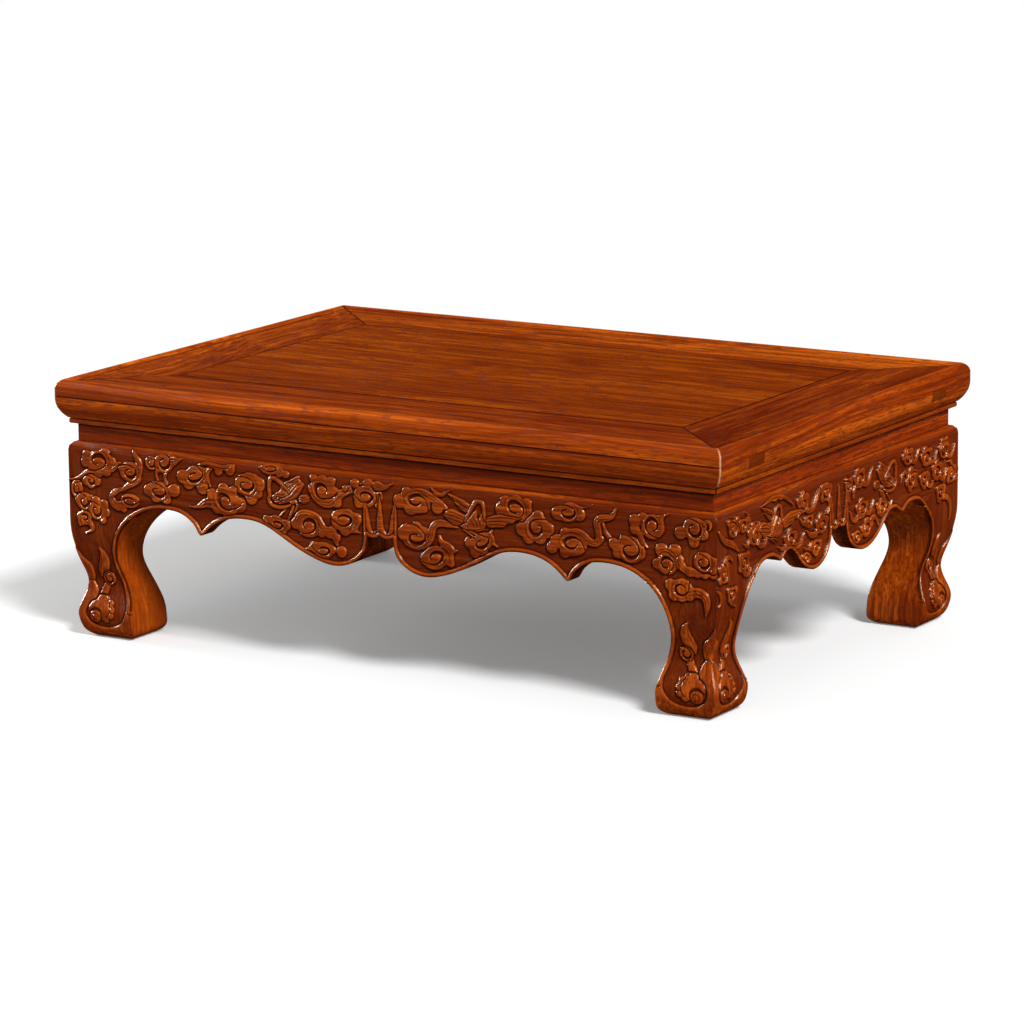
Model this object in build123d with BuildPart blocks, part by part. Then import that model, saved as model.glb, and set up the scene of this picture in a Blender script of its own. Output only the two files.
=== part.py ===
from build123d import *
from math import sqrt
import os

os.makedirs("parts", exist_ok=True)

# A low waisted table. +X is the table's length, +Y its depth towards the back, +Z up.
# The origin is on the floor, under the middle of the top. All sizes are in millimetres.
# An inset is measured inwards from the outer plane of the frame's rim.
# Each corner piece and side piece is drawn at the front right and mirrored to its twins.

# ---- Overall ------------------------------------------------------------------------------------
table_length = 900.0
table_depth = 622.0
frame_underside = 260.0

# ---- Frame: four mitred rails, each a lower member glued under an upper board -------------------
rail_width = 106.0
rail_height = 50.5
seam_height = 33.0
lip_rise = 2.5
lip_crest_inset = 8.0
lip_foot_inset = 19.0
rim_top_drop = 11.5
ice_plate_top = 31.0
ice_plate_foot = (11.3, 6.5)
quirk_depth = 1.0
quirk_height = 1.0
fillet_chamfer = 1.0

# ---- Through tenons of the long rails, lying in notches of the end rails ------------------------
through_tenon_start = 66.0
through_tenon_width = 36.0
through_tenon_height = 13.0

# ---- Panel, its tongue and the battens under it -------------------------------------------------
panel_thickness = 13.5
panel_gap = 0.6
panel_tongue_thickness = 6.0
panel_tongue_drop = 5.5
panel_tongue_reach = 8.0
panel_groove_spare = 2.0
batten_names = ["left_batten", "centre_batten", "right_batten"]
batten_spacing = 215.0
batten_width = 40.0
batten_height = 32.0
dovetail_height = 5.0
dovetail_foot_width = 24.0
dovetail_head_width = 30.0
batten_tenon_width = 20.0
batten_tenon_height = 16.0
batten_tenon_length = 20.0
batten_tenon_rise = 7.0
mortise_spare = 1.0

# ---- Waist --------------------------------------------------------------------------------------
waist_inset = 19.5
waist_height = 22.0
waist_thickness = 14.0
waist_tongue_setback = 3.5
waist_tongue_thickness = 4.5
waist_tongue_reach = 5.0

# ---- Aprons -------------------------------------------------------------------------------------
apron_inset = 9.0
apron_thickness = 22.0
front_arch_drop = 69.1
front_lobe_drop = 111.0
front_notch_drop = 73.0
front_arch_span = 103.5
side_arch_drop = 71.5
side_lobe_drop = 105.5
side_notch_drop = 69.0
side_arch_span = 62.5
side_notch_shift = -10.0
notch_half_width = 17.5
notch_foot_distance = 9.0
notch_side_rise = 2.5
notch_middle_rise = 3.5
# Edge curves as (share of the span, share of the height from the lobe's foot to the arch's top).
front_lobe = [(0.019, 0.477), (0.062, 0.227), (0.122, 0.06), (0.2, 0), (0.286, 0.084)]
front_lobe += [(0.484, 0.549), (0.647, 0.955), (0.729, 1), (0.815, 0.955), (0.897, 0.788)]
front_cusp = [(0.962, 0.52), (0.985, 0.405), (1, 0.375)]
front_arch = [(0.03, 0.43), (0.065, 0.573), (0.145, 0.776), (0.28, 0.945), (0.46, 1)]
front_arch += [(0.657, 0.955), (0.84, 0.807)]
side_lobe = [(0.018, 0.79), (0.078, 0.4), (0.18, 0.12), (0.3, 0), (0.44, 0.067), (0.565, 0.305)]
side_lobe += [(0.67, 0.64), (0.755, 0.915), (0.825, 1), (0.907, 0.93)]
side_cusp = [(0.965, 0.79), (1, 0.745)]
side_arch = [(0.05, 0.78), (0.13, 0.87), (0.32, 0.985), (0.5, 1), (0.75, 0.89)]

# ---- Shoulder joints between aprons and legs ----------------------------------------------------
mitre_tongue_setback = 6.0
mitre_tongue_thickness = 6.0
mitre_tongue_top_drop = 33.0
mitre_tongue_size = 30.0
key_distance = 62.0
key_root_width = 12.0
key_tip_width = 16.0
key_reach = 7.0
key_top_drop = 10.0

# ---- Legs ---------------------------------------------------------------------------------------
leg_block_inset = 96.5
leg_post_inset = 33.5
leg_post_width = 41.5
long_tenon_height = 20.0
short_tenon_height = 12.0
leg_tenon_length = 21.0
leg_tenon_thickness = 12.0
leg_tenon_margin = 2.5
# The outer face as (distance behind the apron's face, share of the free height), floor upwards,
# and the inner face as (distance outside the leg's block, share of the free height).
leg_outer_curve = [(21, 0), (13, 0.04), (7.5, 0.12), (6, 0.2), (8.8, 0.28), (13.3, 0.365)]
leg_outer_curve += [(15.1, 0.458), (11.3, 0.565), (6.6, 0.664), (3, 0.764), (0.5, 0.877), (0, 1)]
leg_inner_curve = [(14.5, 0), (6.2, 0.04), (4.7, 0.12), (5.9, 0.22), (10.7, 0.345), (17, 0.465)]
leg_inner_curve += [(21.7, 0.558), (24, 0.651), (22.5, 0.75), (17.5, 0.85), (9.2, 0.937), (0, 1)]

# ---- Places that follow from the sizes ----------------------------------------------------------
half_length = table_length / 2
half_depth = table_depth / 2
field_z = frame_underside + rail_height
lip_z = field_z + lip_rise
seam_z = frame_underside + seam_height
through_tenon_z = seam_z - through_tenon_height
through_tenon_end = through_tenon_start + through_tenon_width
panel_underside = field_z - panel_thickness
panel_tongue_top = field_z - panel_tongue_drop
panel_tongue_bottom = panel_tongue_top - panel_tongue_thickness
opening_length = table_length - 2 * rail_width
opening_depth = table_depth - 2 * rail_width
batten_bottom = panel_underside - batten_height
waist_bottom = frame_underside - waist_height
apron_back_inset = apron_inset + apron_thickness
shoulder_radius = waist_inset - apron_inset
shoulder_z = waist_bottom - shoulder_radius
# On each face the shoulder mitre falls at 45 degrees from the arris at the waist's foot, so
# along it the inset and the height have a fixed sum.
mitre_sum = waist_bottom + apron_inset
mitre_foot_z = mitre_sum - leg_block_inset
half_chord = shoulder_radius * sqrt(0.5)
shoulder_middle = (waist_inset - half_chord, shoulder_z + half_chord)

# Planes of the front face, seen from outside, and of the right face, seen from outside.
front_face = Plane(origin=(0, -half_depth, 0), x_dir=(1, 0, 0), z_dir=(0, -1, 0))
right_face = Plane(origin=(half_length, 0, 0), x_dir=(0, 1, 0), z_dir=(1, 0, 0))
# Planes across the front and right members: x is the inset and y the height.
front_section = Plane(origin=(0, -half_depth, 0), x_dir=(0, 1, 0), z_dir=(1, 0, 0))
right_section = Plane(origin=(half_length, 0, 0), x_dir=(-1, 0, 0), z_dir=(0, 1, 0))
sections = {"front": front_section, "right": right_section}
faces = {"front": front_face, "right": right_face}
half_lengths = {"front": half_length, "right": half_depth}
# Each drawn side, with its twin across the table and the plane between them.
twins = {"front": ("back", Plane.XZ), "right": ("left", Plane.YZ)}


def upright_mitre(side, end):
    """The upright mitre plane at one end (-1 or 1) of a side's members, facing off the end."""
    half = half_lengths[side]
    if side == "front":
        return Plane(origin=(end * half, -half_depth, 0), x_dir=(0, 0, 1), z_dir=(end, 1, 0))
    return Plane(origin=(half_length, end * half, 0), x_dir=(0, 0, 1), z_dir=(-1, end, 0))


def shoulder_mitre(side, end):
    """The 45 degree plane under one end (-1 or 1) of a side's apron, facing the leg."""
    if side == "front":
        origin = (end * half_length, -half_depth, mitre_sum)
        return Plane(origin=origin, x_dir=(0, 1, 0), z_dir=(end, 0, -1))
    return Plane(origin=(half_length, end * half_depth, mitre_sum), x_dir=(1, 0, 0), z_dir=(0, end, -1))


def inset_box(range_x, range_y, range_z):
    """A box at the front right corner between two insets from each outer plane."""
    size = (range_x[1] - range_x[0], range_y[1] - range_y[0], range_z[1] - range_z[0])
    x = half_length - sum(range_x) / 2
    y = -half_depth + sum(range_y) / 2
    return Pos(x, y, sum(range_z) / 2) * Box(*size, mode=Mode.PRIVATE)


def both_ends(side, piece):
    """A front right corner feature of one side, with its mirror image at the side's other end."""
    return [piece, piece.mirror(Plane.YZ if side == "front" else Plane.XZ)]


# ---- Frame rails --------------------------------------------------------------------------------
def whole_rail(side):
    """One mitred rail, moulded and grooved, before it is parted at the seam."""
    length = 2 * half_lengths[side]
    with BuildPart() as rail:
        with BuildSketch(sections[side]):
            with BuildLine():
                crest = (lip_crest_inset, lip_z)
                lip_foot = (lip_foot_inset, field_z)
                rim_top = (0, lip_z - rim_top_drop)
                rim_foot = (0, frame_underside + ice_plate_top)
                foot = (ice_plate_foot[0], frame_underside + ice_plate_foot[1])
                quirk_inset = foot[0] + quirk_depth
                strip_inset = foot[0] + quirk_depth / 2
                Polyline((rail_width, frame_underside), (rail_width, field_z), lip_foot)
                TangentArc(lip_foot, crest, tangent=(-1, 0))
                TangentArc(rim_top, crest, tangent=(0, 1))
                Line(rim_top, rim_foot)
                TangentArc(rim_foot, foot, tangent=(0, -1))
                Polyline(
                    foot,
                    (quirk_inset, foot[1]),
                    (quirk_inset, foot[1] - quirk_height),
                    (strip_inset, foot[1] - quirk_height),
                    (strip_inset, frame_underside + fillet_chamfer),
                    (strip_inset + fillet_chamfer, frame_underside),
                    (rail_width, frame_underside),
                )
            make_face()
        extrude(amount=length / 2, both=True)
        with BuildSketch(sections[side]):
            with Locations((rail_width, (panel_tongue_top + panel_tongue_bottom) / 2)):
                Rectangle(2 * (panel_tongue_reach + panel_groove_spare), panel_tongue_thickness)
            with Locations((waist_inset + waist_tongue_setback, frame_underside)):
                Rectangle(waist_tongue_thickness, 2 * waist_tongue_reach, align=(Align.MIN, Align.CENTER))
        extrude(amount=length / 2, both=True, mode=Mode.SUBTRACT)
        for end in (-1, 1):
            split(bisect_by=upright_mitre(side, end), keep=Keep.BOTTOM)
    return rail.part


def upper_region(side):
    """What is above the seam. An end rail's upper board also has a cheek at each end, which
    reaches down to the underside of the through tenon beside it."""
    size = 2 * table_length
    region = Pos(0, 0, seam_z) * Box(size, size, size, align=(Align.CENTER, Align.CENTER, Align.MIN))
    if side == "right":
        cheek = inset_box((0, rail_width), (0, through_tenon_start), (through_tenon_z, seam_z))
        for piece in both_ends(side, cheek):
            region += piece
    return region


def leg_tenon(long, spare=0.0):
    """A top tenon of the front right leg: the long one stands in the front rail and the short
    one in the end rail. With spare it is the mortise."""
    low = leg_post_inset + leg_tenon_margin
    high = leg_post_inset + leg_post_width - leg_tenon_margin
    along = (high - leg_tenon_length, high)
    across = (low, low + leg_tenon_thickness)
    height = long_tenon_height if long else short_tenon_height
    range_z = (frame_underside, frame_underside + height + spare)
    return inset_box(along, across, range_z) if long else inset_box(across, along, range_z)


def batten_positions():
    first = -batten_spacing * (len(batten_names) - 1) / 2
    return [first + batten_spacing * index for index in range(len(batten_names))]


def batten_tenon(position, spare=0.0):
    """A batten's end tenon in the front rail. With spare it is the mortise."""
    length = batten_tenon_length + spare
    y = -half_depth + rail_width - length / 2
    z = batten_bottom + batten_tenon_rise + batten_tenon_height / 2
    return Pos(position, y, z) * Box(batten_tenon_width, length, batten_tenon_height, mode=Mode.PRIVATE)


rails = {side: whole_rail(side) for side in twins}
tenon_range = (through_tenon_start, through_tenon_end)
tenon_notch = inset_box((-rail_width, through_tenon_end), tenon_range, (through_tenon_z, seam_z))
# The tenon's end is cut flush with the end rail's moulding.
through_tenon = tenon_notch & rails["right"]

rail_names = {"front": "rail", "right": "end_rail"}
for side, (twin, between) in twins.items():
    above_seam = upper_region(side)
    mortises = both_ends(side, leg_tenon(side == "front", mortise_spare))
    if side == "front":
        mortises += [batten_tenon(position, mortise_spare) for position in batten_positions()]
    with BuildPart() as lower_rail:
        add(rails[side])
        add(above_seam, mode=Mode.SUBTRACT)
        if side == "front":
            for tenon in both_ends(side, through_tenon):
                add(tenon)
        else:
            for notch in both_ends(side, tenon_notch):
                add(notch, mode=Mode.SUBTRACT)
        for mortise in mortises:
            add(mortise, mode=Mode.SUBTRACT)
    with BuildPart() as upper_rail:
        add(rails[side])
        add(above_seam, mode=Mode.INTERSECT)
    with BuildPart() as lower_twin:
        mirror(lower_rail.part, about=between)
    with BuildPart() as upper_twin:
        mirror(upper_rail.part, about=between)
    for name, piece in ((side, lower_rail), (twin, lower_twin)):
        piece.part.label = f"{name}_{rail_names[side]}"
        export_step(piece.part, f"parts/{piece.part.label}.step")
    for name, piece in ((side, upper_rail), (twin, upper_twin)):
        piece.part.label = f"{name}_{rail_names[side]}_top"
        export_step(piece.part, f"parts/{piece.part.label}.step")


# ---- Panel and battens --------------------------------------------------------------------------
def dovetail_ridge(position, length):
    """The dovetailed ridge along a batten's top, which is also the slot for it in the panel."""
    with BuildPart() as ridge:
        with BuildSketch(Plane.XZ.offset(-length / 2)):
            with BuildLine():
                foot = dovetail_foot_width / 2
                head = dovetail_head_width / 2
                top = panel_underside + dovetail_height
                Polyline(
                    (position - foot, panel_underside),
                    (position + foot, panel_underside),
                    (position + head, top),
                    (position - head, top),
                    close=True,
                )
            make_face()
        extrude(amount=length)
    return ridge.part


slots = [dovetail_ridge(position, table_depth) for position in batten_positions()]
with BuildPart() as centre_panel:
    with BuildSketch(Plane.XY.offset(panel_underside)):
        Rectangle(opening_length - 2 * panel_gap, opening_depth - 2 * panel_gap)
    extrude(amount=panel_thickness)
    with BuildSketch(Plane.XY.offset(panel_tongue_bottom)):
        Rectangle(opening_length + 2 * panel_tongue_reach, opening_depth + 2 * panel_tongue_reach)
    extrude(amount=panel_tongue_thickness)
    for slot in slots:
        add(slot, mode=Mode.SUBTRACT)
centre_panel.part.label = "centre_panel"
export_step(centre_panel.part, "parts/centre_panel.step")

for name, position in zip(batten_names, batten_positions()):
    ridge = dovetail_ridge(position, opening_depth)
    tenon = batten_tenon(position)
    with BuildPart() as batten:
        with BuildSketch(Plane.XY.offset(batten_bottom)):
            with Locations((position, 0)):
                Rectangle(batten_width, opening_depth)
        extrude(amount=batten_height)
        add(ridge)
        add(tenon)
        add(tenon.mirror(Plane.XZ))
    batten.part.label = name
    export_step(batten.part, f"parts/{name}.step")


# ---- Waist boards -------------------------------------------------------------------------------
waists = {}
for side, (twin, between) in twins.items():
    with BuildPart() as waist:
        with BuildSketch(sections[side]):
            with Locations((waist_inset, waist_bottom)):
                Rectangle(waist_thickness, waist_height, align=(Align.MIN, Align.MIN))
            with Locations((waist_inset + waist_tongue_setback, waist_bottom - waist_tongue_reach)):
                tongues_height = waist_height + 2 * waist_tongue_reach
                Rectangle(waist_tongue_thickness, tongues_height, align=(Align.MIN, Align.MIN))
        extrude(amount=half_lengths[side], both=True)
        for end in (-1, 1):
            split(bisect_by=upright_mitre(side, end), keep=Keep.BOTTOM)
    waists[side] = waist.part
    with BuildPart() as waist_twin:
        mirror(waist.part, about=between)
    for name, piece in ((side, waist), (twin, waist_twin)):
        piece.part.label = f"{name}_waist"
        export_step(piece.part, f"parts/{name}_waist.step")


# ---- Shoulder joint features --------------------------------------------------------------------
def mitre_tongue(side):
    """The triangular tongue on the apron's end at the front right corner. It drops into the
    leg from above, so its outer edge is upright and its lower edge is level."""
    depth = apron_inset + mitre_tongue_setback
    top = waist_bottom - mitre_tongue_top_drop
    low = top - mitre_tongue_size
    end = 1 if side == "front" else -1
    edge = half_lengths[side]
    outline = [(mitre_sum - top, top), (mitre_sum - low, low), (mitre_sum - top, low)]
    with BuildPart() as tongue:
        with BuildSketch(faces[side].offset(-depth)):
            with BuildLine():
                Polyline(*[(end * (edge - inset), z) for inset, z in outline], close=True)
            make_face()
        extrude(amount=-mitre_tongue_thickness)
    return tongue.part


def key_slot(side):
    """The upright dovetail slot in the back of one side's apron, at the front right corner. It is
    open downwards, so that the apron hangs from above on the key that the leg has there."""
    low = mitre_sum - key_distance - key_tip_width / 2
    high = waist_bottom - key_top_drop
    root = key_root_width / 2
    tip = key_tip_width / 2
    outline = [(key_distance - root, apron_back_inset), (key_distance + root, apron_back_inset)]
    outline += [(key_distance + tip, apron_back_inset - key_reach)]
    outline += [(key_distance - tip, apron_back_inset - key_reach)]
    if side == "right":
        outline = [(inset_x, inset_y) for inset_y, inset_x in outline]
    with BuildPart() as dovetail:
        with BuildSketch(Plane.XY.offset(low)):
            with BuildLine():
                points = [(half_length - inset_x, inset_y - half_depth) for inset_x, inset_y in outline]
                Polyline(*points, close=True)
            make_face()
        extrude(amount=high - low)
    return dovetail.part


# ---- Aprons -------------------------------------------------------------------------------------
def edge_points(side, notch_x, end):
    """One half of an apron's lower edge, from the notch round the lobe and the arch to the leg."""
    front = side == "front"
    arch_z = waist_bottom - (front_arch_drop if front else side_arch_drop)
    lobe_z = waist_bottom - (front_lobe_drop if front else side_lobe_drop)
    notch_z = waist_bottom - (front_notch_drop if front else side_notch_drop) + notch_side_rise
    leg_u = half_lengths[side] - leg_block_inset - end * notch_x
    cusp_u = leg_u - (front_arch_span if front else side_arch_span)
    lobe = front_lobe + front_cusp if front else side_lobe + side_cusp
    arch = front_arch if front else side_arch
    points = [(notch_half_width, notch_z)]
    for share, rise in lobe:
        u = notch_half_width + share * (cusp_u - notch_half_width)
        points.append((u, lobe_z + rise * (arch_z - lobe_z)))
    for share, rise in arch:
        points.append((cusp_u + share * (leg_u - cusp_u), lobe_z + rise * (arch_z - lobe_z)))
    points.append((leg_u, mitre_foot_z))
    return [(notch_x + end * u, z) for u, z in points]


aprons = {}
for side, (twin, between) in twins.items():
    notch_x = 0 if side == "front" else side_notch_shift
    foot_z = waist_bottom - (front_notch_drop if side == "front" else side_notch_drop)
    corner_x = half_lengths[side] - apron_inset
    tongues = both_ends(side, mitre_tongue(side))
    slots = both_ends(side, key_slot(side))
    with BuildPart() as apron:
        with BuildSketch(faces[side].offset(-apron_inset)):
            with BuildLine():
                left = edge_points(side, notch_x, -1)
                right = edge_points(side, notch_x, 1)
                middle = (notch_x, foot_z + notch_middle_rise)
                Spline(*left)
                Spline(*right)
                ThreePointArc(left[0], (notch_x - notch_foot_distance, foot_z), middle)
                ThreePointArc(middle, (notch_x + notch_foot_distance, foot_z), right[0])
                Polyline(
                    left[-1],
                    (-corner_x, mitre_foot_z),
                    (-corner_x, waist_bottom),
                    (corner_x, waist_bottom),
                    (corner_x, mitre_foot_z),
                    right[-1],
                )
            make_face()
        extrude(amount=-apron_thickness)
        with BuildSketch(sections[side]):
            with BuildLine():
                ThreePointArc((apron_inset, shoulder_z), shoulder_middle, (waist_inset, waist_bottom))
                Polyline(
                    (waist_inset, waist_bottom),
                    (apron_back_inset, waist_bottom),
                    (apron_back_inset, 0),
                    (apron_inset, 0),
                    (apron_inset, shoulder_z),
                )
            make_face()
        extrude(amount=half_lengths[side], both=True, mode=Mode.INTERSECT)
        with BuildSketch(sections[side]):
            with Locations((waist_inset + waist_tongue_setback, waist_bottom)):
                Rectangle(waist_tongue_thickness, 2 * waist_tongue_reach, align=(Align.MIN, Align.CENTER))
        extrude(amount=half_lengths[side], both=True, mode=Mode.SUBTRACT)
        for end in (-1, 1):
            split(bisect_by=upright_mitre(side, end), keep=Keep.BOTTOM)
            split(bisect_by=shoulder_mitre(side, end), keep=Keep.BOTTOM)
        for tongue, slot in zip(tongues, slots):
            add(tongue)
            add(slot, mode=Mode.SUBTRACT)
    aprons[side] = apron.part
    with BuildPart() as apron_twin:
        mirror(apron.part, about=between)
    for name, piece in ((side, apron), (twin, apron_twin)):
        piece.part.label = f"{name}_apron"
        export_step(piece.part, f"parts/{name}_apron.step")


# ---- Legs ---------------------------------------------------------------------------------------
post_range = (leg_post_inset, leg_post_inset + leg_post_width)
leg_post = inset_box(post_range, post_range, (waist_bottom, frame_underside))
leg_top = [leg_post, leg_tenon(True), leg_tenon(False)]

with BuildPart() as leg:
    for side, end in (("front", 1), ("right", -1)):
        edge = half_lengths[side]
        with BuildSketch(faces[side]):
            with BuildLine():
                outer = [(apron_inset + setback, share) for setback, share in leg_outer_curve]
                inner = [(leg_block_inset - spread, share) for spread, share in leg_inner_curve]
                outer = [(end * (edge - inset), share * mitre_foot_z) for inset, share in outer]
                inner = [(end * (edge - inset), share * mitre_foot_z) for inset, share in inner]
                round_low = (end * (edge - apron_inset), shoulder_z)
                round_middle = (end * (edge - shoulder_middle[0]), shoulder_middle[1])
                round_top = (end * (edge - waist_inset), waist_bottom)
                Spline(*outer)
                Line(outer[-1], round_low)
                ThreePointArc(round_low, round_middle, round_top)
                Polyline(round_top, (end * (edge - leg_block_inset), waist_bottom), inner[-1])
                Spline(*inner)
                Line(inner[0], outer[0])
            make_face()
        extrude(amount=-leg_block_inset, mode=Mode.ADD if side == "front" else Mode.INTERSECT)
    # The aprons and waist boards shape the shoulder: its mitres, tongue mortises and keys.
    for piece in (aprons["front"], aprons["right"], waists["front"], waists["right"]):
        add(piece, mode=Mode.SUBTRACT)
    for piece in leg_top:
        add(piece)

with BuildPart() as left_leg:
    mirror(leg.part, about=Plane.YZ)
for twin, piece in (("right", leg), ("left", left_leg)):
    with BuildPart() as back_leg:
        mirror(piece.part, about=Plane.XZ)
    for name, corner in (("front", piece), ("back", back_leg)):
        corner.part.label = f"{name}_{twin}_leg"
        export_step(corner.part, f"parts/{name}_{twin}_leg.step")
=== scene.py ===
"""A low waisted kang table in carved hardwood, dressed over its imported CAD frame."""

import math

import bmesh
import bpy
import numpy as np
from mathutils import Matrix, Vector


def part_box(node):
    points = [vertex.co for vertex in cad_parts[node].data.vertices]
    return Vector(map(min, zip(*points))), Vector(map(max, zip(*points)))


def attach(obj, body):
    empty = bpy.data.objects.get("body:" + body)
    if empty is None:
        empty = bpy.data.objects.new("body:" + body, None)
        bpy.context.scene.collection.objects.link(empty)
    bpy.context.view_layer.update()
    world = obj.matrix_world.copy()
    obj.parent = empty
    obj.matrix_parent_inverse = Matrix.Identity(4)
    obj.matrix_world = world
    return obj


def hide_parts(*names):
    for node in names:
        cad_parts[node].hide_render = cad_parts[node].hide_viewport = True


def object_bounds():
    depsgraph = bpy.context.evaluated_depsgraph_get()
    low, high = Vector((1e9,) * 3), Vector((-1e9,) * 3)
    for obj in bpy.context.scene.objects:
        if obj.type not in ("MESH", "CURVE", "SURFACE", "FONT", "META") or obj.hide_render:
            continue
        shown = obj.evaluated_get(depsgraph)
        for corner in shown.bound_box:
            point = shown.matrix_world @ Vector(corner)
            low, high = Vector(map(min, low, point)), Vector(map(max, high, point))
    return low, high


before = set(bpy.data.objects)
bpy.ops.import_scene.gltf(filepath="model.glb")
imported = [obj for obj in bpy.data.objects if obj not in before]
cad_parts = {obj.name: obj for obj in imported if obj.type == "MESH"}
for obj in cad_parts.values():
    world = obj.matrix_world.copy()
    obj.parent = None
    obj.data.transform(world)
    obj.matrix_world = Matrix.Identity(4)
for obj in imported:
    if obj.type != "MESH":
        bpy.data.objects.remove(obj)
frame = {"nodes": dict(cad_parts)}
CAD_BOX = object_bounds()

bl_info = {
    "name": "Carved Kang Table",
    "version": (1, 0, 0),
    "blender": (4, 5, 0),
    "location": "View3D > Sidebar > Kang Table",
    "description": "Builds the carved aprons and legs, the framed top and the studio of a kang table",
    "category": "Object",
}

# ---- Sizes, in millimetres ----------------------------------------------------------------------
MM = 0.001
LOW_CORNER, HIGH_CORNER = (Vector(corner) for corner in CAD_BOX)
HALF_LENGTH = (HIGH_CORNER.x - LOW_CORNER.x) / 2 / MM
HALF_DEPTH = (HIGH_CORNER.y - LOW_CORNER.y) / 2 / MM
FRAME_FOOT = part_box("front_rail")[0].z / MM
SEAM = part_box("front_rail_top")[0].z / MM
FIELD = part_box("centre_panel")[1].z / MM
LIP = HIGH_CORNER.z / MM
WAIST_INSET = 19.5
WAIST_FOOT = 238.0
WAIST_BACK = 33.5
POST_FAR = 75.0
APRON_INSET = 9.0
APRON_BACK = 31.0
ROUND = WAIST_INSET - APRON_INSET
ROUND_FOOT = WAIST_FOOT - ROUND
MITRE_SUM = WAIST_FOOT + APRON_INSET
BLOCK_INSET = 96.5
BLOCK_TOP = 216.0
MITRE_FOOT = MITRE_SUM - BLOCK_INSET
SINK = 2.4

# The aprons' lower edges and the legs' outlines, as the joiner drew them. Curves go in shares: along
# the lobe or the arch, and up from the lobe's lowest point to the arch's crown. The legs' are (inset,
# share of the height up to the mitre's foot).
NOTCH_HALF = 17.5
NOTCH_FOOT_AT = 9.0
FRONT_EDGE = {
    "arch": 168.9, "lobe": 127.0, "notch": 165.0, "span": 103.5, "shift": 0.0,
    "lobe_curve": [(0.019, 0.477), (0.062, 0.227), (0.122, 0.06), (0.2, 0), (0.286, 0.084),
                   (0.484, 0.549), (0.647, 0.955), (0.729, 1), (0.815, 0.955), (0.897, 0.788),
                   (0.962, 0.52), (0.985, 0.405), (1, 0.375)],
    "arch_curve": [(0.03, 0.43), (0.065, 0.573), (0.145, 0.776), (0.28, 0.945), (0.46, 1),
                   (0.657, 0.955), (0.84, 0.807)],
}
SIDE_EDGE = {
    "arch": 166.5, "lobe": 132.5, "notch": 169.0, "span": 62.5, "shift": -10.0,
    "lobe_curve": [(0.018, 0.79), (0.078, 0.4), (0.18, 0.12), (0.3, 0), (0.44, 0.067),
                   (0.565, 0.305), (0.67, 0.64), (0.755, 0.915), (0.825, 1), (0.907, 0.93),
                   (0.965, 0.79), (1, 0.745)],
    "arch_curve": [(0.05, 0.78), (0.13, 0.87), (0.32, 0.985), (0.5, 1), (0.75, 0.89)],
}
LEG_OUTER = [(30, 0), (22, 0.04), (16.5, 0.12), (15, 0.2), (17.8, 0.28), (22.3, 0.365), (24.1, 0.458),
             (20.3, 0.565), (15.6, 0.664), (12, 0.764), (9.5, 0.877), (9, 1)]
LEG_INNER = [(82, 0), (90.3, 0.04), (91.8, 0.12), (90.6, 0.22), (85.8, 0.345), (79.5, 0.465),
             (74.8, 0.558), (72.5, 0.651), (74, 0.75), (79, 0.85), (87.3, 0.937), (96.5, 1)]


def smooth(points, count=400):
    """Points along a smooth curve through the given ones, spaced by chord length."""
    points = np.array(points, float)
    knots = np.concatenate([[0], np.cumsum(np.hypot(*np.diff(points, axis=0).T))])
    gaps = np.diff(knots)
    size = len(points)
    system = np.eye(size)
    right = np.zeros((size, 2))
    for k in range(1, size - 1):
        system[k, k - 1:k + 2] = gaps[k - 1], 2 * (gaps[k - 1] + gaps[k]), gaps[k]
        slope = (points[k + 1] - points[k]) / gaps[k] - (points[k] - points[k - 1]) / gaps[k - 1]
        right[k] = 6 * slope
    bend = np.linalg.solve(system, right)
    at = np.linspace(0, knots[-1], count)
    k = np.clip(np.searchsorted(knots, at) - 1, 0, size - 2)
    gap = gaps[k][:, None]
    back = (knots[k + 1] - at)[:, None]
    ahead = (at - knots[k])[:, None]
    curve = (bend[k] * back ** 3 + bend[k + 1] * ahead ** 3) / (6 * gap)
    curve += (points[k] / gap - bend[k] * gap / 6) * back
    return curve + (points[k + 1] / gap - bend[k + 1] * gap / 6) * ahead


# ---- Relief carving -----------------------------------------------------------------------------
MAP_HEIGHT = 246
MAP_PITCH = 0.4
GROUND_LEFT = 0.3
FAR = 1e9


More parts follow.
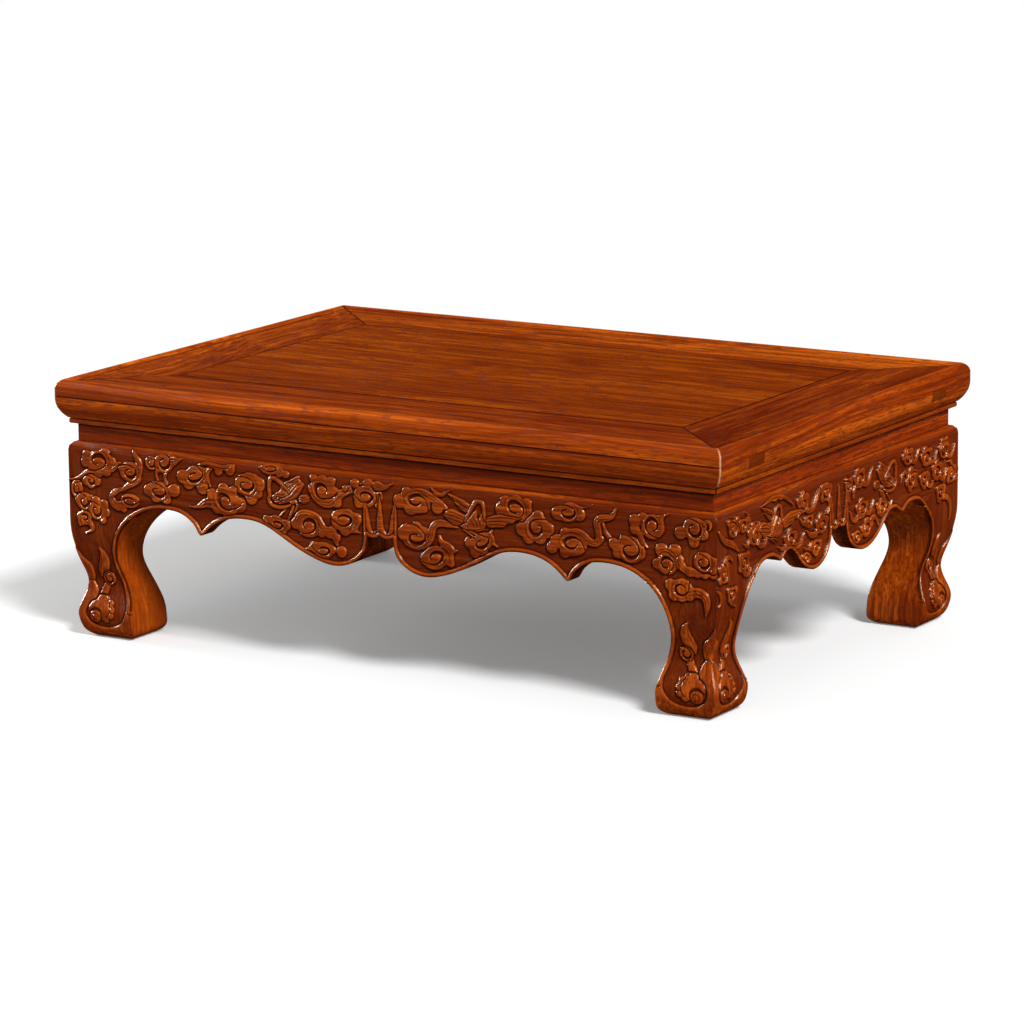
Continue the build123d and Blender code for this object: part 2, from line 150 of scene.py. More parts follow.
class Relief:
    """The carving of one side of the table, as heights in millimetres above its sunk ground."""

    def __init__(self, half):
        self.half = half
        self.pitch = MAP_PITCH
        self.height = np.zeros((int(MAP_HEIGHT / MAP_PITCH) + 1, int(2 * half / MAP_PITCH) + 1))

    def window(self, points, margin):
        """The part of the map around some points, with the places of its cells."""
        (left, low), (right, high) = points.min(axis=0) - margin, points.max(axis=0) + margin
        rows, columns = self.height.shape
        first = max(0, int((left + self.half) / self.pitch))
        last = min(columns, int((right + self.half) / self.pitch) + 2)
        bottom = max(0, int(low / self.pitch))
        top = min(rows, int(high / self.pitch) + 2)
        across = np.arange(first, last) * self.pitch - self.half
        up = np.arange(bottom, top) * self.pitch
        return (slice(bottom, top), slice(first, last)), *np.meshgrid(across, up)

    def raise_form(self, parts, edge=1.1, moat=1.4, blend=0.0):
        """Leaves a form with rounded edges standing, with a cut round it that frees it from the ground
        and from what lies under it. Its parts run into each other over the blend."""
        reach = max(part_reach(part) for part in parts)
        centres = np.vstack([part_points(part) for part in parts])
        cells, x, z = self.window(centres, reach + 3 * moat)
        away = part_distance(parts[0], x, z)
        for part in parts[1:]:
            other = part_distance(part, x, z)
            near = np.clip(blend - np.abs(away - other), 0, None) / max(blend, 1e-6)
            away = np.minimum(away, other) - near ** 2 * blend / 4
        self.stand(cells, away, edge, moat)

    def raise_area(self, outline, edge=1.25, moat=1.5, bend=True):
        """Leaves all that lies within a closed outline standing."""
        line = np.array([*outline, outline[0]], float)
        if bend:
            line = smooth(line, 6 * len(line))
        cells, x, z = self.window(line, 3 * moat)
        away = line_distance(line, np.zeros(len(line)), x, z)
        inside = np.zeros(x.shape, bool)
        for (ax, az), (bx, bz) in zip(line[:-1], line[1:]):
            if az != bz:
                inside ^= ((az > z) != (bz > z)) & (x < ax + (z - az) * (bx - ax) / (bz - az))
        self.stand(cells, np.where(inside, -away, away), edge, moat)

    def stand(self, cells, away, edge, moat):
        """Rounds a form's edge steeply and its crown gently, given the distance of each cell from its
        outline, and cuts the moat a little into the ground."""
        rim_share, crown_width, bite = 0.64, 5 * edge, 0.6
        rim = np.clip(-away / edge, 0, 1)
        crown = np.clip(-away / crown_width, 0, 1)
        body = rim_share * np.sqrt(1 - (1 - rim) ** 2) + (1 - rim_share) * np.sqrt(1 - (1 - crown) ** 2)
        here = self.height[cells]
        free = here * np.clip(away / moat, 0, 1) - bite * np.exp(-(away / moat) ** 2)
        self.height[cells] = np.where(away < 0, SINK * body, np.minimum(here, free))

    def dish(self, head):
        """Cuts the volute of a cloud's head. The groove leaves the button's neck and winds round it,
        with a scoop that widens up to the rim, and runs out past the neck to the ground."""
        x0, z0, wide, high, tilt, band, start, spin = head
        cells, x, z = self.window(np.array([[x0, z0]], float), wide + 1.6 * band + 4)
        button, scoop, depth = 0.84, 1.1, 2.15
        wide, high, band = button * wide, button * high, scoop * band
        lean = math.radians(tilt)
        along = (x - x0) * math.cos(lean) + (z - z0) * math.sin(lean)
        across = (z - z0) * math.cos(lean) - (x - x0) * math.sin(lean)
        size = np.maximum(np.hypot(along / wide, across / high), 0.05)
        away = np.where(size > 0.05, np.hypot(along, across) * (1 - 1 / size), -10)
        turn = ((np.degrees(np.arctan2(across / high, along / wide)) - start) * spin % 360) / 360
        neck = 0.45 * band + 0.5
        middle = neck * np.interp(turn, (0, 0.2, 0.45, 0.7, 0.9, 1), (-0.9, -0.3, 0, 0.2, 0.7, 1))
        widths = band * np.array([0.1, 0.15, 0.5, 1, 0.6, 0.2, 0.1])
        reach = np.interp(turn, (0, 0.2, 0.38, 0.55, 0.7, 0.85, 1), widths) + 0.9
        opened = np.interp(turn, (0, 0.1, 0.85, 1), (0, 1, 1, 0.8))
        outward = np.clip((away - middle) / reach, 0, 1)
        inward = np.clip((middle - away) / 1.3, 0, 1)
        slope = np.clip((outward - 0.5) / 0.5, 0, 1)
        slope = 1 - slope * slope * (3 - 2 * slope)
        gone = depth * opened * np.where(away > middle, slope, 1 - np.sqrt(1 - (1 - inward) ** 2))
        later = neck + 0.5 + (band + 3) * (turn / 0.16) ** 1.4
        leaving = np.clip((0.9 + 3 * turn - np.abs(away - later)) / 0.8, 0, 1)
        leaving *= (turn < 0.17) * (away > neck - 1)
        gone = np.maximum(gone, depth * leaving * leaving * (3 - 2 * leaving))
        # fine lines beside the scoop of the wider volutes
        for beyond in (1.4, 3.1):
            line = np.exp(-((away - middle - reach - beyond) / 0.5) ** 2)
            gone += 0.8 * line * (band > 3.5) * np.interp(turn, (0.3, 0.42, 0.85, 0.95), (0, 1, 1, 0))
        here = self.height[cells]
        self.height[cells] -= np.where(here > GROUND_LEFT, np.minimum(gone, here - 0.15), 0)

    def cut(self, line, width=0.8, depth=1.0):
        """Cuts a groove along a line into whatever stands there."""
        line = np.array(line, float)
        cells, x, z = self.window(line, 3 * width)
        away = line_distance(line, np.zeros(len(line)), x, z)
        here = self.height[cells]
        grooved = np.maximum(0.1, here - depth * np.exp(-(away / width) ** 2))
        self.height[cells] = np.where(here > GROUND_LEFT, grooved, here)

    def sample(self, x, z):
        """The height at given places, read between the map's cells."""
        column = np.clip((x + self.half) / self.pitch, 0, self.height.shape[1] - 1.001)
        row = np.clip(z / self.pitch, 0, self.height.shape[0] - 1.001)
        c, r = column.astype(int), row.astype(int)
        u, v = column - c, row - r
        low = self.height[r, c] * (1 - u) + self.height[r, c + 1] * u
        high = self.height[r + 1, c] * (1 - u) + self.height[r + 1, c + 1] * u
        return low * (1 - v) + high * v


def line_distance(line, radii, x, z):
    """The distance to a line whose half width changes along it."""
    best = np.full(x.shape, FAR)
    for (ax, az), (bx, bz), ra, rb in zip(line[:-1], line[1:], radii[:-1], radii[1:]):
        dx, dz = bx - ax, bz - az
        t = np.clip(((x - ax) * dx + (z - az) * dz) / (dx * dx + dz * dz + 1e-9), 0, 1)
        away = np.hypot(x - ax - t * dx, z - az - t * dz) - (ra + t * (rb - ra))
        best = np.minimum(best, away)
    return best


# A part of a form is a lobe (x, z, radius), an oval (x, z, half width, half height, tilt) or a
# stroke [(x, z, half width), ...].
def is_stroke(part):
    """Whether a part of a form is a stroke."""
    return isinstance(part, list)


def part_points(part):
    """The places that a part of a form is drawn from."""
    return np.array([point[:2] for point in part] if is_stroke(part) else [part[:2]], float)


def part_reach(part):
    """How far a part of a form reaches from its places."""
    return max(point[2] for point in part) if is_stroke(part) else max(part[2:4])


def part_distance(part, x, z):
    """The distance to the outline of a part of a form, below zero inside it."""
    if is_stroke(part):
        return line_distance(*stroke_line(part, 7), x, z)
    dx, dz = x - part[0], z - part[1]
    if len(part) == 3:
        return np.hypot(dx, dz) - part[2]
    tilt = math.radians(part[4])
    along = (dx * math.cos(tilt) + dz * math.sin(tilt)) / part[2]
    across = (dz * math.cos(tilt) - dx * math.sin(tilt)) / part[3]
    return (np.hypot(along, across) - 1) * min(part[2], part[3])


def stroke_line(stroke, density):
    """A stroke's middle line, smoothed by some points for each of its places, and its half widths."""
    line = np.array(stroke, float)
    if len(line) < 3:
        return line[:, :2], line[:, 2]
    curve = smooth(line[:, :2], density * len(line))
    return curve, np.interp(np.linspace(0, 1, len(curve)), np.linspace(0, 1, len(line)), line[:, 2])


def curved(line, density):
    """A line of three or more places, smoothed; a shorter one stays straight."""
    return smooth(line, density * len(line)) if len(line) > 2 else line


def score(relief, stem):
    """Cuts a pair of lines along a stroke, at a share of its half width, where it is wide enough."""
    share, least = 0.32, 1.9
    curve, radii = stroke_line(stem, 9)
    along = np.gradient(curve, axis=0)
    normal = np.column_stack([-along[:, 1], along[:, 0]]) / (np.hypot(*along.T)[:, None] + 1e-9)
    kept = radii > least
    if kept.sum() > 1:
        for side in (-share, share):
            relief.cut((curve + normal * (side * radii)[:, None])[kept], width=0.5, depth=0.75)


def cloud(relief, head, lobes=(), stems=(), veins=()):
    """A cloud: its head (x, z, half width, half height, tilt, band, start, spin) with a scooped
    spiral, its scalloped lobes, and its stems, each with a pair of lines along it."""
    x, z, wide, high, tilt, band = head[:6]
    relief.raise_form([(x, z, wide + band + 2.2, high + band + 2.2, tilt), *lobes, *stems], blend=3.5)
    for stem in stems:
        score(relief, stem)
    if band:
        relief.dish(head)
    for vein in veins:
        relief.cut(curved(vein, 7), width=0.6, depth=0.8)


# ---- Outlines -----------------------------------------------------------------------------------
NOTCH_SIDE_RISE = 2.5
NOTCH_MIDDLE_RISE = 3.5


def edge_line(shape, half):
    """An apron's lower edge, as (along, z) from its left end to its right end."""
    sides = []
    for end in (-1, 1):
        leg = half - BLOCK_INSET - end * shape["shift"]
        cusp = leg - shape["span"]
        tall = shape["arch"] - shape["lobe"]
        points = [(NOTCH_HALF, shape["notch"] + NOTCH_SIDE_RISE)]
        for share, rise in shape["lobe_curve"]:
            points.append((NOTCH_HALF + share * (cusp - NOTCH_HALF), shape["lobe"] + rise * tall))
        for share, rise in shape["arch_curve"]:
            points.append((cusp + share * (leg - cusp), shape["lobe"] + rise * tall))
        points.append((leg, MITRE_FOOT))
        curve = smooth(points, 700)
        sides.append(np.column_stack([shape["shift"] + end * curve[:, 0], curve[:, 1]]))
    notch = []
    for end in (-1, 1):
        along = np.array([NOTCH_HALF, NOTCH_FOOT_AT, 0.0])
        up = shape["notch"] + np.array([NOTCH_SIDE_RISE, 0, NOTCH_MIDDLE_RISE])
        bow = np.polyfit(along, up, 2)
        at = np.linspace(NOTCH_HALF, 0, 60)
        notch.append(np.column_stack([shape["shift"] + end * at, np.polyval(bow, at)]))
    return np.vstack([sides[0][::-1], notch[0][1:], notch[1][::-1][1:-1], sides[1]])


def profile(points):
    """The inset of a leg's outline against z, read off its smooth curve."""
    curve = smooth([(inset, share * MITRE_FOOT) for inset, share in points], 1500)
    order = np.argsort(curve[:, 1])
    return lambda z: np.interp(z, curve[order, 1], curve[order, 0])


LEG_OUTER_AT = profile(LEG_OUTER)
LEG_INNER_AT = profile(LEG_INNER)
HIP = ROUND * (1 - math.cos(math.pi / 4))
TIP_INSET = APRON_INSET + HIP
TIP = MITRE_SUM - TIP_INSET


def outer_inset(z):
    """How far the carved face stands in from the table's outer plane, from foot to shoulder."""
    on_round = np.clip((z - ROUND_FOOT) / ROUND, 0, 1)
    upper = WAIST_INSET - ROUND * np.sqrt(1 - on_round ** 2)
    return np.where(z < MITRE_FOOT, LEG_OUTER_AT(z), upper)


def face_end(z):
    """How far in a leg's carved face reaches at a height, below and above the mitre's foot."""
    return np.where(z < MITRE_FOOT, LEG_INNER_AT(z), MITRE_SUM - z)


# ---- Relief of the four sides -------------------------------------------------------------------
BEAD_MIDDLE = 2.3
BEAD_HALF = 2.6
BEAD_FOOT = 38


def edge_distance(relief, line, reach=9.0):
    """The distance of every cell of a relief to a long line, or the reach where it is far."""
    away = np.full(relief.height.shape, reach)
    for start in range(0, len(line) - 1, 24):
        piece = line[start:start + 25]
        cells, x, z = relief.window(piece, reach)
        away[cells] = np.minimum(away[cells], line_distance(piece, np.zeros(len(piece)), x, z))
    return away


def lay_bead(relief, line):
    """Leaves the raised bead that runs along a carved edge."""
    away = edge_distance(relief, line)
    across = (away - BEAD_MIDDLE) / BEAD_HALF
    bead = SINK * np.sqrt(np.clip(1 - across ** 2, 0, 1))
    free = np.clip((away - BEAD_MIDDLE - BEAD_HALF + 0.4) / 1.0, 0, 1)
    relief.height = np.maximum(relief.height * free, bead)


def carve_side(half, shape, clouds, extras):
    """The relief of one side: its clouds, its cranes and flutes, and the beads along its edges."""
    relief = Relief(half)
    for each in clouds:
        cloud(relief, *each)
    extras(relief)
    for end in (-1, 1):
        ankle(relief, end)
    line = edge_line(shape, half)
    kept = np.abs(line[:, 0]) < half - BLOCK_INSET
    lay_bead(relief, line[kept][::2])
    rows = np.linspace(BEAD_FOOT, MITRE_FOOT, 90)
    for end in (-1, 1):
        lay_bead(relief, np.column_stack([end * (half - LEG_INNER_AT(rows)), rows]))
    return relief


def flutes(relief, shape):
    """The pair of narrow pendants over the notch in the middle of an apron's edge."""
    for end in (-1, 1):
        def at(points):
            return [(shape["shift"] + end * along, shape["notch"] + up, half) for along, up, half in points]
        arm = at([(19, 40, 0.7), (18, 28, 1.9), (16.2, 15, 2.9), (13.6, 7, 3.3), (9.3, 3.3, 2.8), (5, 6, 3.2),
                  (1.6, 13, 3.4)])
        ridge = at([(0, 51, 0.4), (0, 40, 1.9), (0, 30, 3.1), (0, 18, 4.4), (0, 9, 4.6)])
        relief.raise_form([arm, ridge], edge=1.5)
        relief.raise_form([at([(21, -3, 2.0), (21, 24, 1.7), (21, 40, 1.0)])], edge=1.4, moat=0.7)


def front_extras(relief):
    """What stands on the front apron besides its clouds."""
    flutes(relief, FRONT_EDGE)
    bowl_crane(relief, -130, 203, 1)
    loop_crane(relief, 130, 203, 1)


def side_extras(relief):
    """What stands on a side apron besides its clouds."""
    flutes(relief, SIDE_EDGE)
    loop_crane(relief, -160, 203, 1)
    bowl_crane(relief, 112, 204, -1)


def plumage(relief, at, lines, width=0.55, depth=1.0):
    """Cuts the lines between feathers."""
    for line in lines:
        relief.cut(curved(at(line), 8), width, depth)


def bowl_crane(relief, x, z, way):
    """A crane with a deep bowl of a body, its neck bent over it and its wing fanned out behind."""
    def at(points):
        return [(x + way * point[0], z + point[1], *point[2:]) for point in points]
    relief.raise_area(at([(-7, 5), (-2, 14), (8, 19.5), (20, 23.5), (20.5, 20), (25.5, 15.5), (23, 9),
                          (19, 2.5), (13, -3.5), (5, -8), (-4, -10.5), (-13, -10), (-18, -6), (-16.5, -1),
                          (-11, 2.5)]), edge=1.1)
    plumage(relief, at, [
        [(-14, -3), (-4, -3.5), (5, 0.5), (12, 7), (18, 13), (23.5, 15.5)],
        [(-11, -6), (-1, -6.5), (8, -2.5), (14, 3), (20, 10)],
        [(-12, 0), (-3, 0), (4, 4), (9, 9.5), (14, 14)], [(-1, 9), (7, 14), (19, 18.5)],
        [(0, 12), (8, 16.5), (20, 21.5)], [(1, 6.5), (8, 11), (16, 15)], [(-8, -8), (0, -8.5), (7, -5)]])
    for spot in [(-13.5, -6.5, 2.2, 1.6, 30), (-9.5, -4, 2.4, 1.5, 20), (-9, -8.2, 2.4, 1.3, 10),
                 (-5, -5.5, 2.2, 1.3, 15)]:
        relief.raise_form(at([spot]), edge=1.2, moat=0.6)
    relief.raise_form([at([(-21.5, -2, 2.4), (-23, -7, 2.4), (-20.5, -12, 2.3), (-14, -14.8, 2.3),
                           (-6, -15, 2.2), (2, -13.2, 2), (9, -9.5, 1.6), (14, -5, 0.8)])], edge=1.5,
                      moat=1.1)
    relief.raise_form([at([(-21.5, -3, 2.4), (-22.5, 5, 2.6), (-22, 13, 2.8), (-19, 18, 2.8),
                           (-14, 18.5, 2.8), (-8, 15, 2.7), (-1, 9.5, 2.5), (6, 3.5, 1.6)])], edge=1.6,
                      moat=1.1)
    relief.raise_form(at([(26, -2, 7.5, 5.6, 12)]), edge=2.0, moat=1.1)
    plumage(relief, at, [[(19, -4), (26, -3.5), (33, -1)], [(20, -1), (26, -0.5), (32, 1.5)],
                         [(21, -6), (27, -6), (31, -4)]])
    relief.raise_form([at([(10, -8, 2.6), (13, -6, 2.4), (16, -9, 1)])], edge=1.2, moat=0.8)
    relief.raise_form([at([(0, -17, 0.9), (-4, -21.5, 1.1), (-8.5, -26, 0.7)])], edge=0.9, moat=0.7)
    relief.raise_form([at([(11, -12.5, 1.6), (9, -18, 1.9), (4, -28, 1)])], edge=1.1, moat=0.7)
    relief.raise_form([at([(17, -10, 0.9), (15, -15, 1.1), (12, -19, 0.7)])], edge=0.9, moat=0.7)


def loop_crane(relief, x, z, way):
    """A crane with its neck in a tall loop over the body and a wing out to either side."""
    def at(points):
        return [(x + way * point[0], z + point[1], *point[2:]) for point in points]
    relief.raise_form([at([(-38, 24, 0.6), (-28, 19.5, 2.4), (-18, 15.5, 3.4), (-8, 10.5, 2.6)]),
                       at([(-29, 16, 0.6), (-20, 10, 2.6), (-9, 5, 2.8)])], edge=1.2, moat=1.1)
    plumage(relief, at, [[(-32, 21), (-22, 16.5), (-10, 11.5)], [(-28, 19.5), (-20, 14), (-10, 8.5)],
                         [(-24, 12), (-16, 8), (-9, 5.5)]])
    relief.raise_area(at([(-43.7, -1.4), (-41, 3.5), (-36, 6.5), (-29, 6), (-22, 3.5), (-14, -0.5),
                          (-17, -7), (-23, -11), (-30, -11.5), (-37, -7.5)]), edge=1.2, moat=1.1)
    plumage(relief, at, [[(-17, -2), (-27, 2), (-38, 3)], [(-18, -4.5), (-29, -1.5), (-41, 0)],
                         [(-20, -7.5), (-30, -5.5), (-39, -4)]])
    relief.raise_area(at([(13, 1), (20, 4), (30, 7), (42, 6.5), (60, 4.5), (50, 0), (48, -2), (40, -3.5),
                          (38, -6), (28, -8.5), (17, -9.5), (12, -6)]), edge=1.1, moat=1.1)
    plumage(relief, at, [[(15, -0.5), (30, 3), (54, 3)], [(16, -3.5), (30, -1), (47, -1.5)],
                         [(17, -6.5), (28, -5), (38, -5.5)]])
    relief.raise_area(at([(-22.5, -11.5), (-18, -9), (-13, -4), (-8, 1), (-3.5, 6), (-0.6, 9), (0.6, 3),
                          (1.5, -2), (4, 0.5), (6.5, 5), (9, 0), (12.5, -4), (12, -9), (8, -12.5),
                          (-2, -15), (-14, -15)]), edge=1.3, moat=1.1)
    plumage(relief, at, [[(-9, -3), (-5, -7), (-3, -12)], [(-4, -1), (0, -6), (1, -11)],
                         [(3, -3), (5, -7), (5, -11)], [(-15, -8), (-12, -11), (-11, -13.5)],
                         [(8, -3), (10, -6), (9, -10)]], 0.5, 0.8)
    relief.raise_form([at([(-15, -6, 1.8), (-11, 3, 2.1), (-6.5, 10.5, 2.2), (-2, 17, 2.4),
                           (2.5, 18.8, 2.5), (7, 17.8, 2.5), (9.3, 13, 2.4), (10.2, 5, 2.2),
                           (11, -2, 1.4)])], edge=1.5, moat=1.2)
    relief.raise_form([at([(-17, -15.5, 0.9), (-9, -19.5, 1.1), (-3, -23.5, 0.7)])], edge=0.9, moat=0.7)
    relief.raise_form([at([(-10, -16.5, 0.9), (-2, -19, 1.1), (3, -22, 0.7)])], edge=0.9, moat=0.7)
    relief.raise_form([at([(-2, -16, 0.7), (4, -14.5, 1.0), (10, -12.5, 0.7)])], edge=0.9, moat=0.6)


def ankle(relief, end):
    """The leaves down the ankle, and the foot's plain border round its sunk panel and scroll."""
    def at(points):
        return [(end * (relief.half - point[0]), *point[1:]) for point in points]
    border = [(13, 111), (19, 101.8), (25, 94.5), (31.3, 89.7), (33.9, 85), (34.9, 78.4), (34.6, 72),
              (33.4, 67), (36, 63.5), (38.4, 59), (39.8, 53.5), (39.2, 49.5), (32, 42.5), (27.6, 37),
              (25.6, 31.5), (27, 25), (32, 19), (40, 14.9), (50, 13.3), (60, 13.9), (69, 16.5),
              (76.5, 21.5), (81, 28), (83.2, 35), (83, 43), (81.2, 50.5), (78, 57.5), (76.4, 63), (77, 68)]
    around = [(110, 68), (110, -8), (-12, -8), (-12, 111)]
    shore = smooth(at(border), 170)
    relief.raise_area([*shore, *at(around)], edge=1.5, moat=1.6, bend=False)
    relief.cut(smooth(at([(33.4, 67), (30, 69), (27, 68), (25, 65)]), 24), 0.7, 0.9)
    # the leaf over its ring, and the strap down to the scroll
    relief.raise_form([at([(49, 111.5, 0.4), (53.3, 104, 4), (54, 96, 6.6), (51.6, 88, 7.8), (47.5, 81, 6.2),
                           (45.6, 74.5, 1.6)])], edge=1.6)
    relief.cut(smooth(at([(50, 108), (50.5, 100), (48.5, 91), (44.5, 84)]), 30), 0.7, 0.7)
    relief.raise_form([at([(52.5, 66, 4.6), (50, 59, 4.8), (47, 52, 5.6)])], edge=1.7, moat=1.2)
    relief.cut(at([(46.8, 66), (43.5, 57)]), 0.6, 0.9)
    ring = at([(56.6, 73.2, 9, 8.6, 0)])
    relief.raise_form(ring, edge=1.6, moat=1.3)
    relief.dish((*ring[0][:2], 5.2, 5, 0, 3.2, 90, end))
    # the scroll: a pear-shaped boss with scallops down one side and a ball in a crescent
    boss = [(46, 35, 17.5, 13.5, 0), (47, 49, 7, 4.5, 0), (61.5, 36, 5), (58.5, 43.5, 5.4),
            (52.5, 48.5, 4.6), (61, 29, 5), (54.5, 23.5, 4.6)]
    relief.raise_form(at(boss), edge=3.4, moat=1.5, blend=1.5)
    relief.cut(smooth(at([(51.5, 51.5), (57, 45), (59.6, 38), (59, 31), (55, 26)]), 44), 0.8, 1.1)
    for tick in ([(55, 46.5), (60.5, 42)], [(59, 39.5), (65, 37)], [(59, 32), (64, 32)],
                 [(51, 50), (55, 52)]):
        relief.cut(at(tick), 0.6, 0.9)
    relief.cut(smooth(at([(48.5, 30), (45.5, 34.5), (39.5, 36.6), (33, 34), (29.4, 28), (31, 21)]), 50),
               1.1, 1.7)
    relief.raise_form(at([(39.6, 26.4, 8.6, 8.2, 0)]), edge=4.5, moat=1.2)
    relief.cut(smooth(at([(44, 26), (42, 29.5), (38, 29.5), (35.5, 26), (37.5, 22.5), (42, 21.5)]), 50),
               0.7, 0.9)


